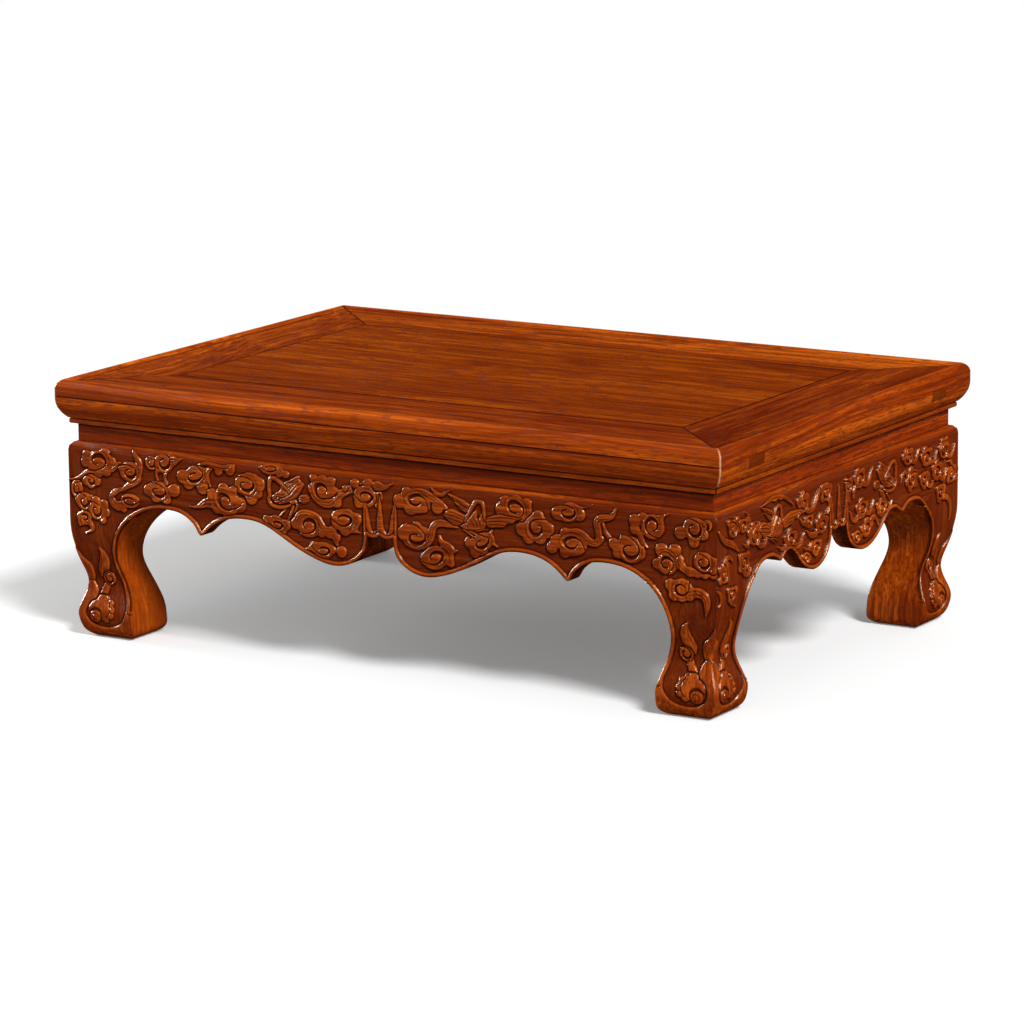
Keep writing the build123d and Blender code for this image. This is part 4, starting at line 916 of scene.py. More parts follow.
def leg_mesh(name, reliefs, end_x, end_y, pitch, tone):
    """A cabriole leg with its two carved faces, mitred shoulder, block and post. The tone of its plain
    inner faces is painted light and shade, from -1, pale, to 1, dark."""
    heights = np.unique(np.concatenate([
        np.arange(0, MITRE_FOOT, pitch), np.arange(MITRE_FOOT, BLOCK_TOP, pitch), [BLOCK_TOP],
        np.linspace(BLOCK_TOP, ROUND_FOOT, int((ROUND_FOOT - BLOCK_TOP) / pitch) + 2),
        np.linspace(ROUND_FOOT, TIP - 0.12, int(9 / pitch) + 3)]))
    outer, inner = outer_inset(heights), face_end(heights)
    slope = np.gradient(outer, heights)
    slope[heights >= MITRE_FOOT] = 0
    on_round = np.clip((heights - ROUND_FOOT) / ROUND, 0, 1)
    angle = np.arcsin(on_round)
    tilt = np.where(heights > ROUND_FOOT, np.tan(angle), slope)
    lean = 1 / np.sqrt(1 + tilt ** 2)
    wide = inner - outer
    radius = np.minimum(ARRIS, 0.3 * wide)
    steps = int(FACE_WIDTH / pitch)
    share = np.linspace(0, 1, steps)
    fade = round_fade(angle) * np.clip(heights / 6, 0, 1) ** 0.5
    rings, hollows, depths = [], [], []
    for k, z in enumerate(heights):
        o, a, r = outer[k], inner[k], radius[k]
        flat = a + (o + r - a) * share
        bend = np.radians(np.arange(15, 90, 15))
        ring_x = np.concatenate([flat, o + r - r * np.sin(bend), np.full(steps, o)])
        ring_y = np.concatenate([np.full(steps, o), o + r - r * np.cos(bend), flat[::-1]])
        normal_x = np.concatenate([np.zeros(steps), np.sin(bend), np.ones(steps)])
        normal_y = np.concatenate([np.ones(steps), np.cos(bend), np.zeros(steps)])
        turn = np.concatenate([np.zeros(steps), np.degrees(bend) / 90, np.ones(steps)])
        along_front = end_x * (HALF_LENGTH - ring_x)
        along_side = end_y * (HALF_DEPTH - ring_y)
        v = z if z < ROUND_FOOT else ROUND_FOOT + ROUND * angle[k]
        sink_a, hollow_a = relief_values(reliefs[0], along_front, np.full(len(turn), v), fade[k])
        sink_b, hollow_b = relief_values(reliefs[1], along_side, np.full(len(turn), v), fade[k])
        sink = sink_a * (1 - turn) + sink_b * turn
        near = np.maximum(ring_x, ring_y) - o
        sink = sink * np.clip(0.35 + near / 5, 0.35, 1)
        rings.append(np.stack([ring_x + normal_x * sink * lean[k], ring_y + normal_y * sink * lean[k],
                               z - sink * lean[k] * tilt[k]], -1))
        hollows.append(hollow_a * (1 - turn) + hollow_b * turn)
        depths.append(sink / SINK)
    rings = np.array(rings)
    count = rings.shape[1]
    rows = len(heights)
    points = [rings.reshape(-1, 3)]
    faces = [grid_quads(rows, count)]
    split = int(np.searchsorted(heights, MITRE_FOOT - 1e-6))
    top = int(np.searchsorted(heights, BLOCK_TOP - 1e-6))
    # inner faces below the mitre's foot, with a softened corner between them
    first = rows * count
    soft = 2.5
    inside = []
    for k in range(split + 1):
        o, a, z = outer[k], inner[k], heights[k]
        bend = np.radians([0, 30, 60, 90])
        side_steps = np.linspace(0.12, 1, 6)
        edge_y = o + (a - soft - o) * side_steps
        part = [(a, y, z) for y in edge_y[:-1]]
        part += [(a - soft + soft * math.cos(t), a - soft + soft * math.sin(t), z) for t in bend]
        part += [(x, a, z) for x in edge_y[:-1][::-1]]
        if k == split:
            across = np.linspace(APRON_BACK, BLOCK_INSET, len(edge_y) + 1)[:-1]
            part = [(BLOCK_INSET, y, z) for y in across]
            part += [(BLOCK_INSET, BLOCK_INSET, z)] * 2
            part += [(x, BLOCK_INSET, z) for x in across[::-1]]
        inside.append(part)
    inside_count = len(inside[0])
    points.append(np.array(inside, float).reshape(-1, 3))
    faces.append(grid_quads(split + 1, inside_count, first)[:, ::-1])
    ring_start = np.arange(split + 1) * count
    ring_end = ring_start + count - 1
    in_start = first + np.arange(split + 1) * inside_count
    in_end = in_start + inside_count - 1
    faces.append(np.stack([ring_start[1:], in_start[1:], in_start[:-1], ring_start[:-1]], -1)[:, ::-1])
    faces.append(np.stack([ring_end[:-1], in_end[:-1], in_end[1:], ring_end[1:]], -1)[:, ::-1])
    # the foot's sole
    sole = list(range(count)) + [first + inside_count - 1 - k for k in range(inside_count)]
    faces.append(np.array([sole[::-1]]))
    # mitre faces and the stepped block behind the aprons
    first = sum(len(group) for group in points)
    steps_z = heights[split:top + 1]
    block_z = np.interp(steps_z, [MITRE_FOOT, BLOCK_TOP], [MITRE_FOOT, WAIST_FOOT])
    blocks = []
    for z, high in zip(steps_z, block_z):
        blocks.append([(MITRE_SUM - z, APRON_BACK, z), (BLOCK_INSET, APRON_BACK, high),
                       (BLOCK_INSET, BLOCK_INSET, high), (APRON_BACK, BLOCK_INSET, high),
                       (APRON_BACK, MITRE_SUM - z, z)])
    points.append(np.array(blocks).reshape(-1, 3))
    faces.append(np.delete(grid_quads(len(steps_z), 5, first), [1, 2], axis=0)[:, ::-1])
    ledge = in_start[-1] + np.arange(inside_count)
    half_way = inside_count // 2
    faces.append(np.array([[*ledge[:half_way], first + 7, first + 6],
                           [*ledge[half_way:], first + 8, first + 7]]))
    ring_start = np.arange(split, top + 1) * count
    ring_end = ring_start + count - 1
    left = first + np.arange(len(steps_z)) * 5
    faces.append(np.stack([ring_start[1:], left[1:], left[:-1], ring_start[:-1]], -1)[:, ::-1])
    faces.append(np.stack([ring_end[:-1], left[:-1] + 4, left[1:] + 4, ring_end[1:]], -1)[:, ::-1])
    last = left[-1]
    peak = first + len(steps_z) * 5
    points.append(np.array([[APRON_BACK, APRON_BACK, WAIST_FOOT]]))
    faces.append(np.array([[last + 1, last + 2, last + 3, peak]]))
    faces.append(np.array([[last, last + 1, peak], [last + 4, peak, last + 3]]))
    above_start = np.arange(top, rows) * count
    above_end = above_start + count - 1
    faces.append(np.stack([above_start[:-1], above_start[1:], np.full(rows - top - 1, last)], -1))
    faces.append(np.stack([above_end[1:], above_end[:-1], np.full(rows - top - 1, last + 4)], -1))
    tip = above_start[-1] + np.arange(count)
    faces.append(np.stack([tip[:-1], tip[1:], np.full(count - 1, last)], -1))
    # the post that carries the waist and the frame
    first = peak + 1
    post = [(x, y, z) for z in (WAIST_FOOT, FRAME_FOOT) for x, y in
            ((WAIST_BACK, WAIST_BACK), (POST_FAR, WAIST_BACK), (POST_FAR, POST_FAR), (WAIST_BACK, POST_FAR))]
    points.append(np.array(post, float))
    faces.append(first + np.array([[0, 1, 5, 4], [1, 2, 6, 5], [2, 3, 7, 6], [3, 0, 4, 7], [4, 5, 6, 7],
                                   [3, 2, 1, 0]]))
    inset_x, inset_y, z = np.vstack(points).T
    placed_points = np.stack([end_x * (HALF_LENGTH - inset_x), end_y * (HALF_DEPTH - inset_y), z], -1)
    rest = np.zeros(len(z) - rows * count)
    # the plain faces, block and post carry the leg's painted light and shade as their sunk value
    values = {"hollow": np.concatenate([np.ravel(hollows), rest]),
              "sunk": np.concatenate([np.ravel(depths), rest + tone])}
    return build_mesh(name, placed_points, turned(faces, end_x * end_y > 0), values)


# ---- The top frame ------------------------------------------------------------------------------
RAIL_WIDTH = 106.0
FLANK_MIDDLE, FLANK_RADIUS = 291.0, 32.21
NOSE_FOOT, NOSE_RADIUS = 301.5, 12.27
CREST_INSET, COVE_INSET, COVE_RADIUS = 8.0, 19.0, 25.45
TENON_FOOT, TENON_NEAR, TENON_FAR = 280.0, 66.0, 102.0
TENON_ROOM = 0.4
PANEL_GROOVE_FOOT, PANEL_GROOVE_TOP, PANEL_GROOVE_FAR = 299.0, 305.0, 96.0
WAIST_GROOVE_NEAR, WAIST_GROOVE_FAR, WAIST_GROOVE_TOP = 23.0, 27.5, 265.0
STRIP_INSET, STRIP_TOP = 11.8, 265.2
PANEL_SEAM = 0.6
MITRE_GAP = 0.15
END_BEVEL, END_BEVEL_LENGTH = 0.25, 0.6
SEAM_SPREAD = 1.5
# Wear values of a section's points: dark for seams and for painted shade in quirks, pale for a painted
# highlight.
DARK_SEAM_AND_SHADE, PAINTED_HIGHLIGHT = -1.0, 2.0


def flank(z):
    """How far in the moulded flank of the frame stands at a height."""
    below = np.clip(FLANK_MIDDLE - np.asarray(z, float), 0, None)
    return FLANK_RADIUS - np.sqrt(FLANK_RADIUS ** 2 - below ** 2)


def lower_section(quirk, parted=False):
    """The section of a rail's lower board as (inset, z, wear and painted light). Parted, it ends under the
    tenon.
    """
    foot = [(RAIL_WIDTH, FRAME_FOOT, 0), (WAIST_GROOVE_FAR, FRAME_FOOT, 0),
            (WAIST_GROOVE_FAR, WAIST_GROOVE_TOP, 0), (WAIST_GROOVE_NEAR, WAIST_GROOVE_TOP, 0),
            (WAIST_GROOVE_NEAR, FRAME_FOOT, 0)]
    # the foot strip is paler as painted highlight, and the quirk over it dark as painted shade
    strip = [(STRIP_INSET + 1, FRAME_FOOT, 0.2), (STRIP_INSET, FRAME_FOOT + 1, 0.4),
             (STRIP_INSET, STRIP_TOP, 0.4), (STRIP_INSET + 1, STRIP_TOP + 0.4, DARK_SEAM_AND_SHADE),
             (STRIP_INSET + 1, STRIP_TOP + 1.2, DARK_SEAM_AND_SHADE), (flank(STRIP_TOP + 1.6), STRIP_TOP + 1.6, 0)]
    high, deep = quirk
    curve = [(flank(z), z, 0) for z in np.linspace(STRIP_TOP + 2.1, SEAM - high / 2, 18)]
    curve[-1] = (*curve[-1][:2], DARK_SEAM_AND_SHADE * (high > 0.5))
    head = [(deep, SEAM - high / 2, DARK_SEAM_AND_SHADE), (deep, SEAM, DARK_SEAM_AND_SHADE), (TENON_FAR, SEAM, 0)]
    section = np.array([*foot, *strip, *curve, *head], float)
    if parted:
        above = section[:, 1] > TENON_FOOT
        section[above, 0] = np.maximum(section[above, 0], flank(TENON_FOOT))
        section[above, 1] = TENON_FOOT
    return np.vstack([section, [(TENON_FAR, SEAM, 0), (RAIL_WIDTH, SEAM, 0)]])


def upper_section(quirk, foot, lined=0.0):
    """The section of a rail's upper board as (inset, z, wear and painted light), with its lip and its
    panel groove, and with a line of painted shade at the foot of its cove, where one shows."""
    high, deep = quirk
    skirt = [(TENON_NEAR, foot, 0), (flank(foot) + deep, foot, DARK_SEAM_AND_SHADE),
             (flank(foot) + deep, foot + high / 2, DARK_SEAM_AND_SHADE)]
    skirt += [(flank(z), z, 0) for z in np.linspace(foot + high / 2, SEAM + 1.0, 12)]
    # the nose, crest and cove are paler for wear and as painted highlight
    nose = [(NOSE_RADIUS - NOSE_RADIUS * math.cos(t), NOSE_FOOT + NOSE_RADIUS * math.sin(t),
             0.15 + 0.6 * (t > 1))
            for t in np.linspace(0, math.acos((NOSE_RADIUS - CREST_INSET) / NOSE_RADIUS) - 0.08, 12)]
    middle = FIELD + COVE_RADIUS
    drop = math.asin((COVE_INSET - CREST_INSET) / COVE_RADIUS)
    cove = [(COVE_INSET - COVE_RADIUS * math.sin(t), middle - COVE_RADIUS * math.cos(t), 0.35 * (t > 0.3))
            for t in np.linspace(drop - 0.03, 0.06, 7)]
    # the line of painted shade at the cove's foot
    cove += [(COVE_INSET, FIELD, lined * DARK_SEAM_AND_SHADE), (COVE_INSET + 1.8, FIELD, lined * DARK_SEAM_AND_SHADE),
             (COVE_INSET + 3.2, FIELD, 0)]
    inner = [(RAIL_WIDTH - 2.6, FIELD, 0), (RAIL_WIDTH - 0.5, FIELD, DARK_SEAM_AND_SHADE), (RAIL_WIDTH, FIELD - 0.5, DARK_SEAM_AND_SHADE),
             (RAIL_WIDTH, PANEL_GROOVE_TOP, 0), (PANEL_GROOVE_FAR, PANEL_GROOVE_TOP, 0),
             (PANEL_GROOVE_FAR, PANEL_GROOVE_FOOT, 0), (RAIL_WIDTH, PANEL_GROOVE_FOOT, 0)]
    return np.array([(RAIL_WIDTH, SEAM, 0), (TENON_NEAR, SEAM, 0), *skirt, *nose,
                     (CREST_INSET, LIP - 0.02, 1.3), *cove, *inner], float)


def shrunk(section, size):
    """A section drawn in a little all round, as where an arris has been broken."""
    ahead = np.roll(section, -1, axis=0)[:, :2] - np.roll(section, 1, axis=0)[:, :2]
    normal = np.column_stack([ahead[:, 1], -ahead[:, 0]]) / (np.hypot(*ahead.T)[:, None] + 1e-9)
    x, z = section[:, 0], section[:, 1]
    area = np.sum(x * np.roll(z, -1) - np.roll(x, -1) * z)
    drawn = section.copy()
    drawn[:, :2] -= normal * size * np.sign(area)
    return drawn


def rail_mesh(side, stops):
    """A mitred rail. Its stops are (distance from the middle, section), from the middle outwards.
    Its mitres are marked as dark seams, and with a pale painted highlight down the table's corner."""
    half = HALF_LENGTH if side in ("front", "back") else HALF_DEPTH
    rings = []
    for end in (-1, 1):
        last = stops[-1][1]
        bevel = half - last[:, 0] - MITRE_GAP - END_BEVEL_LENGTH
        run = [(np.minimum(limit, half - section[:, 0] - MITRE_GAP - END_BEVEL_LENGTH - SEAM_SPREAD), section)
               for limit, section in stops]
        marked = last.copy()
        # a pale painted highlight down the corner's outer profile, and a dark seam over the rest of the mitre
        marked[:, 2] = np.where(last[:, 0] < CREST_INSET + 0.5, PAINTED_HIGHLIGHT, DARK_SEAM_AND_SHADE)
        drawn = shrunk(marked, END_BEVEL)
        run += [(bevel - SEAM_SPREAD, last), (bevel, marked), (half - drawn[:, 0] - MITRE_GAP, drawn)]
        rings += [(end * along, section) for along, section in (run if end > 0 else run[::-1])]
    points = np.concatenate([placed(side, along, section[:, 0], section[:, 1]) for along, section in rings])
    wear_seams_and_painted_light = np.concatenate([section[:, 2] for _, section in rings])
    count = len(rings[0][1])
    rows = np.arange(len(rings) - 1)[:, None] * count
    here = np.arange(count)[None, :]
    onward = (here + 1) % count
    sides = np.stack([rows + here, rows + onward, rows + count + onward, rows + count + here],
                     -1).reshape(-1, 4)
    caps = [np.arange(count)[None, ::-1], (len(rings) - 1) * count + np.arange(count)[None, :]]
    return points, [sides, *caps], wear_seams_and_painted_light


def tenon(side, end):
    """A rail's through tenon, from its mitre out to the far face, where it ends flush."""
    half, levels = HALF_LENGTH, []
    near, far = TENON_NEAR + TENON_ROOM, TENON_FAR - TENON_ROOM
    for z in np.linspace(TENON_FOOT + TENON_ROOM, SEAM - TENON_ROOM, 6):
        tip = half - flank(z) - 0.1
        levels.append([(half - near - 0.5, near, z), (tip, near, z), (tip, far, z),
                       (half - far - 0.5, far, z)])
    points = np.array(levels).reshape(-1, 3)
    here = np.arange(4)
    rows = np.arange(5)[:, None] * 4
    onward = (here + 1) % 4
    sides = np.stack([rows + here, rows + onward, rows + 4 + onward, rows + 4 + here], -1).reshape(-1, 4)
    caps = [here[None, ::-1], 20 + here[None, :]]
    return placed(side, end * points[:, 0], points[:, 1], points[:, 2]), [sides, *caps]


def joined(*parts):
    """Several closed bodies as the points and faces of one piece."""
    points, faces, first = [], [], 0
    for part_points, part_faces in parts:
        points.append(part_points)
        faces += [np.asarray(group) + first for group in part_faces]
        first += len(part_points)
    return np.vstack(points), faces


# ---- Wood ---------------------------------------------------------------------------------------
GRAIN_WAY = {"x": (1, 0, 0), "y": (0, 1, 0), "z": (0, 0, 1)}
GRAIN_TURN = {"x": (0, 0, 0), "y": (0, 0, math.pi / 2), "z": (0, math.pi / 2, 0)}


def add_node(tree, kind, inputs=None, **settings):
    """Adds a node to a tree. Each of its inputs is a plain value or the socket that feeds it."""
    node = tree.nodes.new(kind)
    for key, value in settings.items():
        setattr(node, key, value)
    for key, value in (inputs or {}).items():
        if isinstance(value, bpy.types.NodeSocket):
            tree.links.new(value, node.inputs[key])
        else:
            node.inputs[key].default_value = value
    return node


class Nodes:
    """A small hand for laying out a material's nodes."""

    def __init__(self, name):
        self.material = bpy.data.materials.new(name)
        self.material.use_nodes = True
        self.tree = self.material.node_tree
        self.shader = self.tree.nodes["Principled BSDF"]

    def add(self, kind, inputs=None, **settings):
        """Adds a node to the material."""
        return add_node(self.tree, kind, inputs, **settings)

    def link(self, source, target):
        """Leads one socket to another."""
        self.tree.links.new(source, target)

    def math(self, operation, one, two=0.0, three=None, clamp=False):
        """The result of a sum on numbers or sockets."""
        inputs = {0: one, 1: two}
        if three is not None:
            inputs[2] = three
        return self.add("ShaderNodeMath", inputs, operation=operation, use_clamp=clamp).outputs[0]

    def mapped(self, vector, scale):
        """Places scaled along each axis."""
        return self.add("ShaderNodeMapping", {"Vector": vector, "Scale": scale}).outputs[0]

    def noise(self, vector, detail=2.0, roughness=0.5, distortion=0.0):
        """A noise texture, with about one patch to each unit of the places that it reads."""
        return self.add("ShaderNodeTexNoise", {"Vector": vector, "Scale": 1.0, "Detail": detail,
                                               "Roughness": roughness, "Distortion": distortion})

    def ramp(self, factor, stops):
        """A colour or a grey read off stops (place, colour or grey) by a factor."""
        node = self.add("ShaderNodeValToRGB", {"Fac": factor})
        elements = node.color_ramp.elements
        while len(elements) < len(stops):
            elements.new(0.5)
        for element, (at, colour) in zip(elements, stops):
            element.position = at
            element.color = (*colour, 1) if isinstance(colour, tuple) else (colour, colour, colour, 1)
        return node.outputs["Color"]

    def mix(self, factor, one, two):
        """One colour laid over another by a factor."""
        node = self.add("ShaderNodeMix", data_type="RGBA")
        for socket, value in ((node.inputs[0], factor), (node.inputs[6], one), (node.inputs[7], two)):
            if isinstance(value, bpy.types.NodeSocket):
                self.link(value, socket)
            elif socket.type == "RGBA":
                socket.default_value = (*value, 1)
            else:
                socket.default_value = value
        return node.outputs[2]


def linear(red, green, blue):
    """A colour given as it shows on a screen, from 0 to 255, as Blender keeps it."""
    return tuple((v / 255 / 12.92) if v <= 10 else ((v / 255 + 0.055) / 1.055) ** 2.4
                 for v in (red, green, blue))


def shade(colour, factor):
    """A colour made darker by a factor."""
    return tuple(v * factor for v in colour)


def tinted(colour, way):
    """The wood's colour turned lighter and yellower, or darker and redder."""
    return tuple(v * math.exp(way * rate) for v, rate in zip(colour, (0.45, 0.68, 0.8)))


# How much coarser the grain is across a piece, so that it also shows on faces that lie flat.
ACROSS = {"x": (0.30, 1.0), "y": (0.42, 1.0), "z": (1.0, 0.9)}


def wood(name, colour, axis, offset=0.0, carved=False, contrast=1.0, gloss=0.25, wander=0.05, field=None,
         corners=(), marks=()):
    """Oiled hardwood with flowing figure, fine fibres and short dark pores along one axis. A field
    (half length, half depth) gets a dark seam round it. Corners are (dark height, clear height,
    strength) of painted shade beside a neighbour. Marks are (place, half sizes, strength)."""
    n = Nodes(name)
    colour = tuple(colour)
    place = n.add("ShaderNodeTexCoord").outputs["Object"]
    turned_place = n.add("ShaderNodeMapping", {"Vector": place, "Rotation": GRAIN_TURN[axis],
                                               "Location": (offset, offset * 1.7, offset * 0.6)}).outputs[0]
    bend = n.noise(n.mapped(turned_place, (2.2, 5, 5)), detail=1.5)
    bend = n.add("ShaderNodeVectorMath", {0: bend.outputs["Color"], 1: (0.5, 0.5, 0.5)}, operation="SUBTRACT")
    bend = n.add("ShaderNodeVectorMath", {0: bend.outputs[0], 1: (0, wander, wander)}, operation="MULTIPLY")
    flow = n.add("ShaderNodeVectorMath", {0: turned_place, 1: bend.outputs[0]}, operation="ADD").outputs[0]

    def layer(base, along, across, detail, roughness=0.6, distortion=0.0):
        scale = (along, across * ACROSS[axis][0], across * ACROSS[axis][1])
        return n.noise(n.mapped(base, scale), detail=detail, roughness=roughness,
                       distortion=distortion).outputs["Fac"]

    # broad bands, streaks, fibres, and the pores, which are fewer on faces that lie level
    band = layer(flow, 0.5, 22, 3, 0.55, 0.3)
    streak = layer(flow, 2.2, 210, 3)
    fibre = layer(turned_place, 18, 560, 2)
    normal = n.add("ShaderNodeTexCoord").outputs["Normal"]
    level = n.math("ABSOLUTE", n.add("ShaderNodeSeparateXYZ", {0: normal}).outputs[2])
    pores = n.math("MULTIPLY_ADD", level, 0.045, layer(turned_place, 60, 480, 1.5))
    pores = n.ramp(pores, [(0.0, 1.0), (0.415, 1.0), (0.475, 0.0), (1.0, 0.0)])
    mixed = n.math("MULTIPLY_ADD", band, 0.4, n.math("MULTIPLY", streak, 0.5))
    mixed = n.math("MULTIPLY_ADD", fibre, 0.2, mixed)
    dark, light = tinted(colour, -1.35 * contrast), tinted(colour, 0.9 * contrast)
    tone = n.ramp(mixed, [(0.45, dark), (0.52, tinted(colour, -0.35 * contrast)), (0.57, colour),
                          (0.67, light)])
    line = n.ramp(layer(flow, 1.1, 150, 2, distortion=0.2),
                  [(0.0, 0.0), (0.38, 0.0), (0.42, 1.0), (0.46, 0.0), (0.55, 0.0), (0.58, 0.8), (0.61, 0.0)])
    tone = n.mix(n.math("MULTIPLY", line, 0.6 * contrast, clamp=True), tone, tinted(colour, -1.7))
    tone = n.mix(n.math("MULTIPLY", pores, 0.65), tone, tinted(colour, -2.0))
    rough = n.math("MULTIPLY_ADD", n.noise(n.mapped(place, (9, 9, 9)), detail=3).outputs["Fac"], 0.12,
                   gloss - 0.06)
    rough = n.math("MULTIPLY_ADD", pores, 0.14, rough)
    height = n.math("MULTIPLY_ADD", pores, -0.7, n.math("MULTIPLY", fibre, 0.35))
    height = n.math("MULTIPLY_ADD", streak, 0.3, height)
    # end grain is darker
    facing = n.add("ShaderNodeVectorMath", {0: normal, 1: GRAIN_WAY[axis]},
                   operation="DOT_PRODUCT").outputs["Value"]
    across = n.ramp(n.math("ABSOLUTE", facing), [(0.0, 0.0), (0.82, 0.0), (0.95, 1.0)])
    tone = n.mix(n.math("MULTIPLY", across, 0.45 if carved else 0.85), tone, shade(colour, 0.34))
    for spot, size, strength in marks:
        near = n.add("ShaderNodeMapping", {"Vector": place,
                                           "Location": tuple(-a / b for a, b in zip(spot, size)),
                                           "Scale": tuple(1 / b for b in size)}).outputs[0]
        near = n.add("ShaderNodeVectorMath", {0: near}, operation="LENGTH").outputs["Value"]
        near = n.ramp(near, [(0.0, strength), (0.5, 0.7 * strength), (1.0, 0.0)])
        tone = n.mix(near, tone, tinted(colour, -1.8))
    # painted shade in bands along a height, darkest at the dark height
    for dark_at, clear_at, strength in corners:
        near = n.add("ShaderNodeMapRange", {"Value": n.add("ShaderNodeSeparateXYZ", {0: place}).outputs[2],
                                            "From Min": clear_at, "From Max": dark_at,
                                            "To Max": strength}).outputs[0]
        tone = n.mix(near, tone, shade(colour, 0.06))
    if field:
        parts = n.add("ShaderNodeSeparateXYZ", {0: place})
        beyond_x = n.math("ADD", n.math("ABSOLUTE", parts.outputs[0]), -field[0])
        beyond_y = n.math("MULTIPLY", n.math("ADD", n.math("ABSOLUTE", parts.outputs[1]), -field[1]), 0.5)
        seam = n.math("MAXIMUM", beyond_x, beyond_y)
        seam = n.add("ShaderNodeMapRange", {"Value": seam, "From Min": -1.6 * MM,
                                            "From Max": -0.5 * MM}).outputs[0]
        tone = n.mix(n.math("MULTIPLY", seam, 0.85), tone, shade(colour, 0.1))
    # edges are lighter for wear and as painted highlight, the mitred corners and crests pale as painted
    # highlight, seams dark, and quirks and cove feet dark as painted shade
    wear_seams_and_painted_light = n.add("ShaderNodeAttribute", attribute_name="wear_seams_and_painted_light").outputs["Fac"]
    patchy = n.ramp(n.noise(n.mapped(place, (38, 38, 60)), detail=3).outputs["Fac"],
                    [(0.35, 0.25), (0.62, 1.0)])
    tone = n.mix(n.math("MULTIPLY", n.math("MULTIPLY", wear_seams_and_painted_light, patchy, clamp=True), 0.4), tone,
                 tinted(colour, 1.0))
    # the pale pinkish painted highlight
    tone = n.mix(n.math("MULTIPLY", n.math("SUBTRACT", wear_seams_and_painted_light, 1.0, clamp=True), patchy), tone,
                 linear(214, 160, 130))
    # dark seams, and painted shade in the quirks and at the cove's foot
    tone = n.mix(n.math("MULTIPLY", wear_seams_and_painted_light, -0.9, clamp=True), tone, shade(colour, 0.1))
    if carved:
        hollow = n.add("ShaderNodeAttribute", attribute_name="hollow").outputs["Fac"]
        deep = n.ramp(hollow, [(0.0, 0.0), (0.1, 0.08), (0.45, 0.85), (1.0, 1.0)])
        crest = n.ramp(n.math("MULTIPLY", hollow, -1.0), [(0.0, 0.0), (0.15, 0.0), (0.75, 1.0)])
        sunk = n.add("ShaderNodeAttribute", attribute_name="sunk").outputs["Fac"]
        # darker and redder where the carving's ground lies sunk, and painted shade on the back right leg's
        # inner faces
        tone = n.mix(n.math("MULTIPLY", sunk, 0.7), tone, linear(92, 24, 3))
        # painted shade in the hollows, with the stain that gathers there
        tone = n.mix(n.math("MULTIPLY", deep, 0.9), tone, shade(colour, 0.06))
        # paler crests, as painted highlight and wear
        tone = n.mix(n.math("MULTIPLY", crest, 0.35), tone, tinted(colour, 0.9))
        # painted light on the front left leg's plain inner faces, where the sunk value is below zero
        tone = n.mix(n.math("MULTIPLY", sunk, -0.7, clamp=True), tone, tinted(colour, 1.0))
        rough = n.math("MULTIPLY_ADD", crest, -0.05, rough)
        tool = n.noise(n.mapped(place, (260, 260, 260)), detail=2).outputs["Fac"]
        height = n.math("MULTIPLY_ADD", tool, 1.2, height)
    n.link(tone, n.shader.inputs["Base Color"])
    n.link(rough, n.shader.inputs["Roughness"])
    if carved:
        n.link(n.math("MULTIPLY_ADD", deep, -0.2, 0.55), n.shader.inputs["Specular IOR Level"])
    else:
        n.shader.inputs["Specular IOR Level"].default_value = 0.25
    n.shader.inputs["Specular Tint"].default_value = (1, 0.72, 0.45, 1)
    bump = n.add("ShaderNodeBump", {"Height": height, "Strength": 0.2, "Distance": 0.0004})
    n.link(bump.outputs["Normal"], n.shader.inputs["Normal"])
    return n.material


# ---- What a user may change ---------------------------------------------------------------------
class KANG_PG_carving(bpy.types.PropertyGroup):
    """How deep and how fine the carving is."""
    depth: bpy.props.FloatProperty(
        name="Ground depth", description="How far the ground lies below the carving's highest parts",
        default=2.4 * MM, min=0.5 * MM, max=4 * MM, precision=4, subtype="DISTANCE", unit="LENGTH")
    fine: bpy.props.FloatProperty(
        name="Show side spacing", description="Spacing of the points on the front and right carvings",
        default=0.65 * MM, min=0.4 * MM, max=4 * MM, precision=4, subtype="DISTANCE", unit="LENGTH")
    coarse: bpy.props.FloatProperty(
        name="Far side spacing", description="Spacing of the points on the back and left carvings",
        default=1.0 * MM, min=0.4 * MM, max=6 * MM, precision=4, subtype="DISTANCE", unit="LENGTH")


class KANG_PG_finish(bpy.types.PropertyGroup):
    """The colours of the oiled wood."""
    frame: bpy.props.FloatVectorProperty(
        name="Frame", description="Colour of the top frame's rails", default=linear(169, 68, 5),
        min=0, max=1, size=3, subtype="COLOR")
    panel: bpy.props.FloatVectorProperty(
        name="Panel", description="Colour of the floating panel", default=linear(157, 63, 1),
        min=0, max=1, size=3, subtype="COLOR")
    waist: bpy.props.FloatVectorProperty(
        name="Waist", description="Colour of the recessed waist boards", default=linear(154, 55, 5),
        min=0, max=1, size=3, subtype="COLOR")
    carved: bpy.props.FloatVectorProperty(
        name="Carved parts", description="Colour of the aprons and legs", default=linear(158, 63, 7),
        min=0, max=1, size=3, subtype="COLOR")
    hidden: bpy.props.FloatVectorProperty(
        name="Underside", description="Colour of the battens under the panel", default=linear(110, 50, 18),
        min=0, max=1, size=3, subtype="COLOR")
    gloss: bpy.props.FloatProperty(
        name="Roughness", description="Roughness of the rubbed wax finish", default=0.25, min=0.05, max=1,
        subtype="FACTOR")


